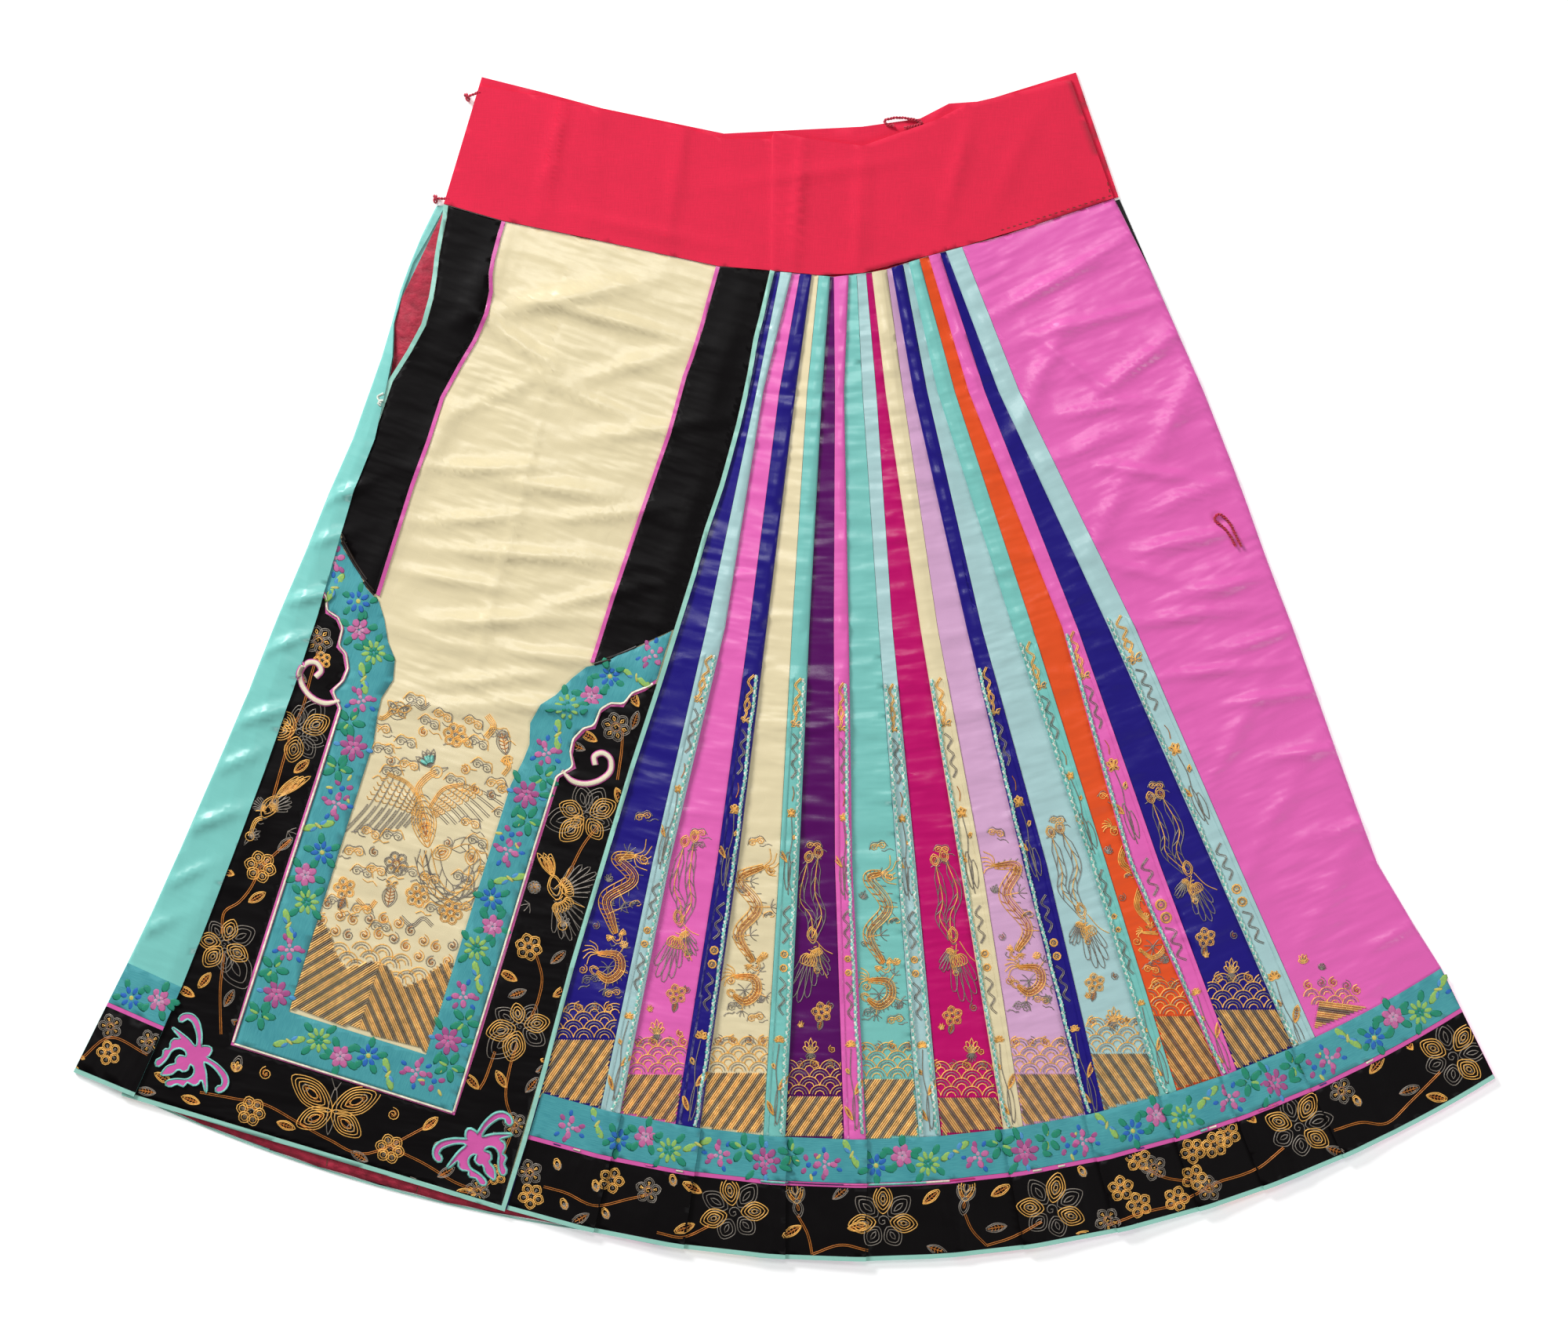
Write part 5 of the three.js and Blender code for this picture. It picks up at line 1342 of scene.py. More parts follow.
def standing_waves(node, top, foot, x_range):
    """Rows of rings, each row half a ring on from the last, crowned with curls."""
    motif = []
    for j, y in enumerate(np.arange(foot, top, WAVE_RADIUS * 0.8)):
        for x in np.arange(x_range[0] + (j % 2) * WAVE_RADIUS, x_range[1], WAVE_RADIUS * 2):
            motif += moved(crest(WAVE_RADIUS), x, y)
    for i, x in enumerate(np.arange(x_range[0] + 6, x_range[1], 13)):
        motif += moved(curl(5, "silver" if i % 2 else "gold"), x, top + 5, flip=bool(i % 2))
    couch(node, motif)


def sea(node, wave_row, slope):
    wave_y = spot(0, wave_row)[1]
    x0, x1 = across_gore(node, wave_y - 30)
    foot = min(ribbon_top(x0), ribbon_top(x1)) - 4
    standing_waves(node, wave_y + 6, wave_y - 16, (x0 - 8, x1 + 8))
    deep_water(node, wave_y - 17, foot, slope, (x0 - 12, x1 + 14))


def fill_sides(node, top, foot, makers):
    """Small motifs down both sides of a gore, between the large ones."""
    for i, y in enumerate(np.arange(top, foot, -FILL_STEP)):
        x, width = middle_at(node, y)
        side = (-1) ** i
        couch(node, makers[i % len(makers)], x + side * width * 0.34, y, turn=20 * side, flip=side < 0)


def add_dragon(number, clouds, waves, body, coil):
    node, slope = gore(number), slope_of(number)
    for i, place in enumerate(clouds):
        couch_at(node, cloud(6.5, "gold" if i != 1 else "silver"), *place, turn=12 * slope, flip=bool(i % 2))
    points = np.array(spots(*body))
    width = middle_at(node, points[2][1])[1]
    centre = points[:, 0].mean()
    points[1:, 0] = centre + (points[1:, 0] - centre) * 0.9
    couch(node, dragon(points, width * 0.118))
    low = spot(*coil)
    ring = [low + place for place in ((-9, 12), (8, 10), (10, -2), (0, -10), (-10, -4))]
    couch(node, dragon(ring, width * 0.09)[:-12])
    couch(node, moved(claw(8), turn=100) + moved(claw(8), turn=-110), *low)
    makers = [curl(4.4), flames(8, "silver"), cloud(3.8, "silver", "gold"), curl(4, "silver"), flames(7)]
    fill_sides(node, points[0][1] - 4, low[1] - 20, makers)
    sea(node, waves, slope)


def add_phoenix(number, cloud_at, waves, body, head, wings, tail, flower_at, flame):
    node, slope = gore(number), slope_of(number)
    body, head = spots(body, head)
    couch_at(node, cloud(6), *cloud_at)
    couch_at(node, cloud(5, "silver"), cloud_at[0], cloud_at[1] + 16, flip=True)
    line = np.array(spots(*tail))
    tails = [line + [(2, 4), (5, 0), (4, 0), (0, 0)], line + [(-7, 0), (-8, -6), (-5, -2), (0, 0)]]
    couch(node, bird(body, head, [], tails, 8.5))
    for i, tip in enumerate(wings):
        far = spot(*tip) + (0, -26 if i == 0 else -4)
        couch(node, wing(np.linalg.norm(far - body), 5, 30), *body, turn=toward(body, far))
    couch_at(node, flower(5, 9) + moved(leaf(10, 5, "silver"), 0, -6, 165), *flower_at)
    couch_at(node, flames(13) + moved(flames(9, "silver"), turn=180), *flame)
    makers = [curl(4, "silver"), flames(6), curl(3.6), cloud(3.2, "silver", "gold")]
    fill_sides(node, head[1] - 30, spot(*flame)[1], makers)
    sea(node, waves, slope)


for facts in DRAGONS:
    add_dragon(**facts)
for facts in PHOENIXES:
    add_phoenix(**facts)
print(len(DRAGONS), "dragons,", len(PHOENIXES), "phoenixes")

# %% [markdown]
# ## The door panel
#
# The flat panel at the front has the finest work: a phoenix among clouds above a sea, framed by ribbon.
# Flowering branches with birds climb its black border. All of it is built from the small shapes above.

# %% Phoenix, clouds and sea of the door
DOOR_SILVER_CLOUDS = [
    (548, 922), (518, 947), (489, 956), (615, 977), (581, 996), (501, 1066), (609, 1074), (530, 893),
    (636, 936), (610, 948), (462, 1112), (520, 1112), (590, 1120), (556, 1160), (486, 1182), (628, 1150),
    (430, 1150), (500, 984), (642, 1040),
]
DOOR_GOLD_CLOUDS = [
    (565, 913), (522, 976), (633, 999), (473, 1062), (600, 1050), (452, 1086), (604, 922), (590, 946),
    (486, 930), (646, 1010), (480, 1110), (462, 1160), (600, 1160), (548, 1120), (622, 1110),
]
DOOR_CURLS = [(541, 933), (593, 981), (607, 1006), (498, 970), (628, 1014), (571, 1074), (478, 1086)]
DOOR_FLOWERS = [(581, 937, "gold"), (506, 1101, "silver"), (533, 1141, "gold"), (575, 1163, "gold")]
DOOR_RIBBONS = [
    ("silver", 3, 1.4, [(516, 903), (528, 896), (538, 903), (549, 897)]),
    ("gold", 3, 1.4, [(500, 908), (488, 916), (480, 912)]),
    ("gold", 4, 1.5, [(622, 912), (630, 926), (620, 940)]),
    ("gold", 3, 1.5, [(640, 968), (650, 976), (642, 988)]),
    ("silver", 3, 1.4, [(512, 1168), (526, 1180), (540, 1170), (552, 1180)]),
    ("gold", 3, 1.4, [(456, 1146), (470, 1158), (480, 1148)]),
]
DOOR_SEAM = [(100, 355.6), (113, 347), (128, 335), (141, 322.5), (156, 308.4)]
DOOR_WINGS = [
    ([(540, 1030), (522, 1000), (494, 986)], [(526, 1052), (476, 1062), (440, 1060)], 9),
    ([(548, 1030), (566, 1006), (592, 1000)], [(572, 1050), (612, 1048), (642, 1026)], 8),
]
DOOR_TURN = -17
DEEP_WATER = {"top": 550, "angle": 41, "foot": 720, "half": 64, "rows": 170}
DOOR_FRAME = {"x": -153, "y": 371.6, "lean": math.radians(17.45)}


def door_spot(u, v):
    """A point counted across and down the door panel, in millimetres."""
    lean = DOOR_FRAME["lean"]
    x = DOOR_FRAME["x"] + u * math.cos(lean) - v * math.sin(lean)
    return np.array([x, DOOR_FRAME["y"] - u * math.sin(lean) - v * math.cos(lean)])


def chevron_water():
    """Slanting stripes that meet in a point down the middle of the door."""
    motif = []
    angle, half = math.radians(DEEP_WATER["angle"]), DEEP_WATER["half"]
    slope = 1 / math.tan(angle)
    step = WATER_PITCH / math.sin(angle)
    u = np.linspace(0, half, 30)
    share = np.linspace(0, 1, 30)[:, None]
    for i in range(int(DEEP_WATER["rows"] / step)):
        v0 = DEEP_WATER["top"] + i * step
        v = v0 + u * slope
        keep = (v < DEEP_WATER["foot"]) & (v > 668 - 10 * np.cos(u / 9) - u * 0.34)
        for side in (-1, 1):
            start, end = door_spot(0, v0), door_spot(side * half, v0 + half * slope)
            line = start + (end - start) * share
            if keep.sum() > 1:
                motif.append((water_tone(i), line[keep]))
    return motif


def door_phoenix():
    """A phoenix with spread wings, and plumes that curl round below it."""
    root, breast, rump, neck, crown = spots((546, 1080), (536, 1011), (546, 1076), (538, 1018), (550, 978))
    motif = moved(petal(46, 21) + petal(34, 9), *root, turn=toward(root, breast))
    for share in np.linspace(0.1, 0.9, 7):
        motif += moved([("silver", arc(7.5, 20, 160))], *(rump + (neck - rump) * share), turn=4)
    throat = spots((538, 1018), (534, 1004), (546, 990), (557, 984))
    beak = ("silver", np.array([(1.8, 4.8), (0, 12), (-1.8, 4.8)]))
    motif += band_line(throat, "gold", 4, 1.6)
    motif += moved([circle("gold", 5.2), circle("silver", 2.4), beak], *throat[-1], turn=-70)
    for tip in spots((537, 953), (546, 958), (530, 964), (552, 966)):
        motif += moved(petal(16, 5, "silver", "mint"), *crown, turn=toward(crown, tip))
    for arm, tips, count in DOOR_WINGS:
        motif += long_wing(spots(*arm), spots(*tips), count)
    tail = spots((550, 1082), (560, 1120), (580, 1138), (606, 1122), (613, 1094), (598, 1076), (576, 1082))
    sweep = spots((544, 1084), (540, 1106), (556, 1134), (590, 1152), (622, 1128))
    second = [point + (-9, -6) for point in tail[:5]]
    return motif + plume(tail[::-1], 6) + plume(second[::-1], 5) + plume(sweep[::-1], 5)


def door_sea_height(u):
    """The sea's crest on the door: low at the sides, with long swells."""
    return 9 * math.cos(u / 14) + abs(u) * 0.2


host = "door_panel"
for side in (-1, 1):
    edge = smooth([door_spot(side * u, v) for u, v in DOOR_SEAM])
    couch(host, [("black", beside(edge, step)) for step in (-5.4, -3.6, -1.8, 0, 1.8, 3.6)])
couch(host, door_phoenix())
for i, place in enumerate(DOOR_SILVER_CLOUDS):
    couch_at(host, cloud(8.4, "silver", "gold"), *place, turn=DOOR_TURN + 10 * (i % 3 - 1), flip=bool(i % 2))
for i, place in enumerate(DOOR_GOLD_CLOUDS):
    couch_at(host, cloud(8), *place, turn=DOOR_TURN + 12 * (i % 3 - 1), flip=bool(i % 2))
for i, place in enumerate(DOOR_CURLS):
    couch_at(host, curl(5, "silver" if i > 2 else "gold"), *place, flip=bool(i % 2))
for column, row, thread in DOOR_FLOWERS:
    couch_at(host, flower(6, 11, thread, other(thread)), column, row)
for thread, count, pitch, path in DOOR_RIBBONS:
    couch(host, band_line(spots(*path), thread, count, pitch))
couch_at(host, [*bow(17), circle("silver", 5), circle("silver", 8)], 508, 906, turn=DOOR_TURN)
couch_at(host, leaf(22, 12, "silver") + moved(flames(10), 0, -1, 180), 646, 962, turn=12)
couch_at(host, leaf(19, 13, "silver") + moved(bow(9), 0, 20), 495, 1156, turn=-10)
couch_at(host, flower(5, 10) + moved(leaf(14, 6, "silver"), 0, -6, 160), 440, 1132)
for i in range(20):
    u = -58 + (i % 10) * 12.6
    v = 630 + 14 * (i // 10) - door_sea_height(u)
    couch(host, curl(5.8, "gold" if i % 3 else "silver"), *door_spot(u, v), turn=DOOR_TURN, flip=bool(i % 2))
for j in range(3):
    for i in range(-4, 5):
        u = i * 18 + (j % 2) * 9
        v = 676 - j * 8 - door_sea_height(u)
        couch(host, crest(9), *door_spot(u, v), turn=DOOR_TURN)
couch(host, chevron_water())
print(len(lines_on[host]), "lines on the door")

# %% Branches of the left border
LEFT_STEMS = [
    [(407, 830), (396, 868), (388, 900), (373, 933), (362, 972), (352, 1008), (346, 1030)],
    [(333, 1105), (322, 1130), (306, 1150), (287, 1163), (284, 1190)],
    [(287, 1215), (282, 1262), (283, 1318)], [(333, 1105), (350, 1090), (372, 1070)],
]
LEFT_FLOWERS = [
    (407, 816, 6, 13, "silver"), (333, 1105, 6, 14, "gold"), (412, 842, 5, 8, "gold"),
]
LEFT_BLOSSOMS = [
    {"at": (382, 934), "gold": [(411, 921), (374, 962), (352, 930), (360, 915)],
     "silver": [(383, 908), (404, 903), (395, 958), (408, 944)]},
    {"at": (287, 1203), "gold": [(309, 1218), (268, 1224), (262, 1198), (296, 1180)],
     "silver": [(316, 1190), (288, 1230), (307, 1245), (275, 1182)]},
]
LEFT_LEAVES = [
    (300, 1115, 70), (355, 1084, -50), (318, 1150, -60), (287, 1283, -30), (249, 1270, 60), (392, 870, 50),
    (376, 985, -50), (296, 1300, -120), (270, 1240, 140),
]


def dress(host, stems, flowers, blossoms, leaves):
    """Stems, flowers, blossoms and leaves of one border."""
    for path in stems:
        couch(host, stem(spots(*path)))
    for column, row, count, size, thread in flowers:
        couch_at(host, flower(count, size, thread, other(thread)), column, row)
    for facts in blossoms:
        centre = spot(*facts["at"])
        for thread in ("silver", "gold"):
            couch(host, blossom(centre, spots(*facts[thread]), thread=thread))
        couch(host, [("silver", spiral(4, 1.4))], *centre)
    for i, (column, row, turn) in enumerate(leaves):
        couch_at(host, leaf(17, 7.5, "silver" if i % 2 else "gold"), column, row, turn=turn)


def perched_bird(host, body, head, tail, wings, feet):
    body, head, tail, feet = spots(body, head, tail, feet)
    couch(host, bird(body, head, spots(*wings), [], 13))
    start = body - (head - body) * 0.5
    for gap in (-5, 0, 5):
        end = tail + (gap, 0)
        couch(host, moved(petal(np.linalg.norm(end - start) * 1.1, 6), *start, turn=toward(start, end)))
    couch(host, moved(claw(8), *feet, turn=toward(body, feet)))


for host in ("door_border_left", "door_border_lower"):
    dress(host, LEFT_STEMS, LEFT_FLOWERS, LEFT_BLOSSOMS, LEFT_LEAVES)
    perched_bird(host, (342, 1033), (320, 1066), (386, 992), [(372, 1016), (322, 1020)], (368, 1060))
    print(len(lines_on[host]), "lines on", host)

# %% Branches of the right border
RIGHT_STEMS = [
    [(795, 930), (793, 960), (788, 994)], [(764, 1052), (744, 1078), (727, 1111), (716, 1128)],
    [(684, 1215), (692, 1247), (686, 1278), (676, 1300)],
    [(660, 1330), (650, 1365), (646, 1400), (657, 1433)], [(632, 1340), (620, 1374), (612, 1388)],
    [(657, 1433), (646, 1462), (630, 1500), (612, 1517)],
]
RIGHT_FLOWERS = [
    (786, 927, 6, 13, "silver"), (675, 1207, 6, 12, "gold"), (657, 1433, 6, 11, "silver"),
    (634, 1497, 5, 9, "gold"), (682, 1131, 8, 6, "silver"),
]
RIGHT_BLOSSOMS = [
    {"at": (748, 1040), "gold": [(776, 1028), (723, 1029), (733, 1050), (724, 1063), (762, 1062)],
     "silver": [(709, 1047), (742, 1010), (773, 1050), (764, 1014)]},
    {"at": (664, 1308), "gold": [(660, 1286), (692, 1303), (632, 1315), (654, 1341)],
     "silver": [(641, 1292), (679, 1288), (687, 1325), (634, 1337)]},
]
RIGHT_LEAVES = [
    (815, 901, 30), (806, 930, -20), (762, 945, 60), (747, 956, 70), (786, 1004, -160), (703, 1228, -50),
    (660, 1250, 60), (672, 1262, 110), (706, 1270, -60), (671, 1392, -40), (646, 1386, 30),
    (684, 1366, -70), (611, 1388, 40), (646, 1462, 40), (608, 1522, 80), (620, 1470, 60),
    (690, 1350, -110),
]

for host in ("door_border_right", "door_border_lower"):
    dress(host, RIGHT_STEMS, RIGHT_FLOWERS, RIGHT_BLOSSOMS, RIGHT_LEAVES)
    perched_bird(host, (710, 1138), (718, 1180), (695, 1090), [(762, 1112), (740, 1196)], (676, 1152))
    print(len(lines_on[host]), "lines on", host)

# %% Foot of the door
FOOT_STEMS = [
    [(256, 1392), (300, 1400), (340, 1408), (380, 1430), (420, 1452), (470, 1470), (552, 1432)],
    [(498, 1462), (540, 1482), (580, 1506), (610, 1517)],
]
FOOT_FLOWERS = [
    (321, 1416, 6, 13, "gold"), (498, 1464, 6, 13, "gold"), (610, 1517, 6, 11, "silver"),
]
FOOT_LEAVES = [
    (256, 1406, 70), (200, 1393, 80), (220, 1380, 60), (559, 1500, -60), (540, 1440, -50), (470, 1480, 60),
    (354, 1430, -110), (520, 1500, -130),
]
host = "door_border_lower"
dress(host, FOOT_STEMS, FOOT_FLOWERS, [], FOOT_LEAVES)
couch_at(host, bud(15, "silver", "gold"), 300, 1366, turn=-20)
couch_at(host, butterfly(46), 424, 1416, turn=-10)
couch_at(host, curl(6), 340, 1368)
couch_at(host, curl(6), 502, 1420, flip=True)
couch_at(host, curl(5, "silver"), 560, 1462)
print(len(FOOT_FLOWERS), "flowers at the foot")

# %% Hem band and mint band
HEM_PLUMS = [
    (676, 1494), (678, 1524), (780, 1504), (827, 1517), (1429, 1514), (1452, 1535), (1412, 1555),
    (1500, 1528), (1450, 1476), (1471, 1488), (1520, 1466), (1522, 1500), (1541, 1514), (1548, 1459),
    (1565, 1445), (1710, 1390),
]
HEM_SMALL = [(723, 1541), (713, 1491), (762, 1518), (776, 1553), (860, 1511), (1384, 1499), (1734, 1409)]
HEM_MAGNOLIAS = [(936, 1545, 10), (1126, 1556, 0), (1340, 1541, -12), (1655, 1437, -24), (1851, 1347, -30)]
HEM_BELLS = [(1017, 1534, 10), (1230, 1531, -8)]
HEM_LEAVES = [
    (895, 1520, 60), (1062, 1528, -50), (1022, 1562, 120), (1081, 1565, -80), (1182, 1588, -110),
    (1177, 1534, -50), (1264, 1524, -60), (1284, 1562, 100), (1601, 1430, 50), (1746, 1368, -40),
    (1784, 1394, -70), (1818, 1396, -100), (1801, 1338, 40), (752, 1546, 120), (886, 1560, 110),
    (1372, 1572, -100), (1690, 1462, -110), (1480, 1556, -120),
]
HEM_STEMS = [
    [(694, 1512), (723, 1520), (760, 1536), (801, 1528), (827, 1522)],
    [(838, 1570), (872, 1576), (905, 1562)], [(1036, 1598), (1072, 1586), (1107, 1593)],
    [(1017, 1548), (1030, 1572), (1036, 1598)], [(1258, 1587), (1292, 1576), (1328, 1556)],
    [(1230, 1546), (1240, 1568), (1258, 1587)],
    [(1412, 1562), (1452, 1546), (1500, 1534), (1548, 1508), (1583, 1497), (1607, 1486), (1636, 1462)],
    [(1450, 1484), (1484, 1500), (1520, 1506)],
    [(1700, 1440), (1734, 1430), (1768, 1431), (1800, 1402), (1836, 1366)],
]


MAGNOLIA_PETALS = [
    (0, 1.0, "gold"), (48, 0.95, "silver"), (-48, 0.95, "silver"), (96, 0.9, "gold"), (-96, 0.9, "gold"),
    (146, 0.7, "silver"), (-146, 0.7, "silver"),
]


def magnolia(size):
    motif = []
    for turn, reach, thread in MAGNOLIA_PETALS:
        one = petal(size * 0.42 * reach, size * 0.26, thread, "silver")
        motif += moved(moved(one, 0, size * 0.1), turn=turn)
    return motif + [("silver", spiral(size * 0.09, 1.4))]


host = "hem_band"
for path in HEM_STEMS:
    couch(host, stem(spots(*path)))
for i, place in enumerate(HEM_PLUMS):
    thread = "silver" if i % 3 == 0 else "gold"
    couch_at(host, flower(5, 11.5, thread, other(thread)), *place, turn=i * 17)
for place in HEM_SMALL:
    couch_at(host, bud(11), *place, turn=place[0] % 50)
for column, row, turn in HEM_MAGNOLIAS:
    couch_at(host, magnolia(63), column, row, turn=turn)
for column, row, turn in HEM_BELLS:
    bell = bud(26, "gold", "silver") + moved(petal(16, 9, "silver"), 0, 4, 180)
    couch_at(host, bell, column, row, turn=turn)
for i, (column, row, turn) in enumerate(HEM_LEAVES):
    couch_at(host, leaf(19, 8, "silver" if i % 3 == 1 else "gold"), column, row, turn=turn)
for column, row, thread in ((142, 1308, "silver"), (140, 1342, "gold"), (192, 1328, "silver")):
    couch_at("mint_band", flower(5, 11, thread, other(thread)), column, row)
for column, row, turn in ((109, 1350, 60), (101, 1362, 90), (194, 1368, -60)):
    couch_at("mint_band", leaf(13, 6), column, row, turn=turn)
couch("mint_band", stem(spots((104, 1350), (142, 1322), (190, 1344))))
print(len(HEM_PLUMS), "plum flowers,", len(HEM_MAGNOLIAS), "magnolias")

# %% Corner of the pink panel
host = "pink_panel"
couch_at(host, flames(9), 1662, 1228, turn=8)
couch_at(host, flames(7, "silver"), 1684, 1236, turn=-20)
for i, (column, row) in enumerate(((1668, 1256), (1684, 1252), (1700, 1252), (1716, 1256), (1730, 1262))):
    couch_at(host, curl(4.8, "silver" if i % 2 else "gold"), column, row, flip=bool(i % 2))
for column, row in ((1672, 1270), (1692, 1268), (1712, 1270), (1682, 1280), (1702, 1279), (1722, 1279)):
    couch_at(host, crest(7), column, row, turn=6)
first, second, foot = spots((1682, 1276), (1741, 1284), (1675, 1311))
CORNER_STRIPES = 13
for i in range(CORNER_STRIPES):
    share = i / CORNER_STRIPES
    start = first + (foot - first) * share
    end = second + (foot - second) * share
    couch(host, [(water_tone(i), np.array([start, end]))])
print(sum(len(lines) for lines in lines_on.values()), "lines drawn")

# %% [markdown]
# ## Woven ribbon
#
# The teal ribbon carries woven roses, daisies, leaves and small moths, which repeat every 224 mm. Each petal
# is a low rounded float of coloured silk. A node tree lays one petal on every point of a list, turned and
# sized by the point's own numbers, because hundreds of them repeat with small changes.

# %% Petals on points
SILKS = {
    "rose": rgb(226, 88, 160), "deep_rose": rgb(190, 30, 130), "blush": rgb(236, 150, 190),
    "leaf": rgb(18, 138, 84), "lime": rgb(168, 206, 58), "yellow": rgb(226, 210, 70),
    "blue": rgb(30, 84, 196), "sky": rgb(86, 150, 216),
}
SPRIGS = {
    "rose": [
        ("rose", 6, 4.3, 5.6, 4.6, 0), ("blush", 5, 2.0, 3.4, 2.6, 20), ("leaf", 5, 8.6, 7.6, 4.4, 40),
    ],
    "peony": [
        ("deep_rose", 7, 5.4, 6.2, 4.2, 0), ("rose", 5, 2.6, 4.4, 3.2, 12), ("sky", 2, 9.6, 4.6, 2.8, 60),
        ("leaf", 3, 11.5, 9.2, 3.8, 12),
    ],
    "daisy": [
        ("blue", 7, 4.4, 5.2, 3.0, 0), ("yellow", 1, 0.0, 3.0, 3.0, 0), ("leaf", 5, 8.0, 7.0, 4.2, 25),
    ],
    "aster": [
        ("lime", 9, 4.8, 5.4, 2.6, 0), ("leaf", 5, 2.0, 3.0, 2.2, 15), ("leaf", 4, 9.4, 7.6, 4.2, 70),
    ],
    "cluster": [
        ("rose", 4, 4.6, 5.2, 3.8, 0), ("deep_rose", 3, 7.2, 4.6, 3.0, 50), ("blue", 3, 8.4, 4.0, 2.6, 10),
        ("blush", 3, 1.8, 3.0, 2.4, 30),
    ],
    "moth": [
        ("lime", 2, 5.2, 9.6, 4.4, 55), ("sky", 2, 3.6, 5.4, 3.0, 70), ("yellow", 1, 0.0, 5.6, 1.8, 0),
    ],
    "leaves": [
        ("leaf", 5, 5.4, 8.4, 4.6, 20), ("lime", 2, 4.0, 5.6, 2.4, 80),
    ],
    "berries": [
        ("deep_rose", 3, 4.4, 4.4, 3.2, 0), ("blue", 1, 0.0, 3.4, 3.4, 0),
        ("yellow", 3, 7.4, 4.6, 2.0, 50),
    ],
}
RIBBON_REPEAT = [
    (0, -3, "cluster"), (22, 6, "moth"), (43, -4, "daisy"), (66, 4, "rose"), (88, -4, "aster"),
    (112, 5, "moth"), (131, -2, "cluster"), (152, 6, "leaves"), (172, -3, "peony"), (193, 5, "leaves"),
    (209, -4, "berries"),
]
REPEAT_LENGTH = 224.0
SPRIG_SIZE = 1.5

petal_rows = {}


def sow(host, place, turn, sprig):
    """Adds the petals of one sprig: place, turn, length, width and colour."""
    for silk, count, reach, length, width, shift in SPRIGS[sprig]:
        reach, length, width = (part * SPRIG_SIZE for part in (reach, length, width))
        for i in range(count):
            angle = math.radians(turn + shift + i * 360 / count)
            x = place[0] + reach * math.cos(angle)
            y = place[1] + reach * math.sin(angle)
            z, node = land(x, y)
            if node == host:
                row = (x * MM, y * MM, z, angle, length * MM, width * MM, silk)
                petal_rows.setdefault(host, []).append(row)


def sow_along(host, line, start, flip=1):
    """Sprigs along the middle of a ribbon, from its first point."""
    line = stepped(line, 1.0)
    step = np.gradient(line, axis=0)
    place = start
    while place < len(line):
        for offset, aside, sprig in RIBBON_REPEAT:
            i = int(place + offset)
            if 0 <= i < len(line):
                side = np.array([-step[i, 1], step[i, 0]])
                heading = math.degrees(math.atan2(step[i, 1], step[i, 0]))
                sow(host, line[i] + side * aside * flip, heading + 90 + offset * 7, sprig)
        place += REPEAT_LENGTH


def silk_finish():
    finish = Finish("woven_silk", Specular_IOR_Level=0.35)
    place = finish.node("ShaderNodeTexCoord", output=3)
    dye = finish.colour_on("dye")
    floats = finish.noise(place, (900, 500, 700), 2)
    finish.feed("Base Color", finish.mix(floats * 0.9 - 0.1, dye, (0.03, 0.2, 0.24, 1)))
    finish.feed("Roughness", 0.4 + floats * 0.2)
    return finish.material


silk_material = silk_finish()
PETAL_NODES = {
    "ball": ("GeometryNodeMeshUVSphere", {}, {"Segments": 8, "Rings": 4, "Radius": 0.5}),
    "lay": ("GeometryNodeInstanceOnPoints", {}, {}),
    "turn": ("GeometryNodeInputNamedAttribute", {}, {"Name": "turn"}),
    "spin": ("ShaderNodeCombineXYZ", {}, {}),
    "extent": ("GeometryNodeInputNamedAttribute", {"data_type": "FLOAT_VECTOR"}, {"Name": "extent"}),
    "scale": ("ShaderNodeVectorMath", {"operation": "SCALE"}, {}),
    "real": ("GeometryNodeRealizeInstances", {}, {}),
    "paint": ("GeometryNodeSetMaterial", {}, {"Material": silk_material}),
}
PETAL_LINKS = [
    ("start", "Places", "lay", "Points"), ("ball", "Mesh", "lay", "Instance"),
    ("turn", "Attribute", "spin", "Z"), ("spin", 0, "lay", "Rotation"),
    ("extent", "Attribute", "scale", 0), ("start", "Size", "scale", "Scale"), ("scale", 0, "lay", "Scale"),
    ("lay", "Instances", "real", "Geometry"), ("real", "Geometry", "paint", "Geometry"),
    ("paint", "Geometry", "end", "Petals"),
]
petal_nodes, petal_size = node_tree("sown_petals", ("Places", "Size"), "Petals", PETAL_NODES, PETAL_LINKS)
PETAL_HEIGHT = 0.5


def weave_petals(host, slot):
    rows = petal_rows[host]
    mesh = bpy.data.meshes.new(host + "_places")
    mesh.from_pydata([row[:3] for row in rows], [], [])
    set_values(mesh, "dye", "FLOAT_COLOR", [part for row in rows for part in SILKS[row[6]]])
    set_values(mesh, "turn", "FLOAT", [row[3] for row in rows])
    extents = [part for row in rows for part in (row[4], row[5], PETAL_HEIGHT * MM)]
    set_values(mesh, "extent", "FLOAT_VECTOR", extents)
    petals = grown(mesh, petal_nodes, petal_size)
    petals.shade_smooth()
    return add_object(host + "_flowers", petals, silk_material, slot)


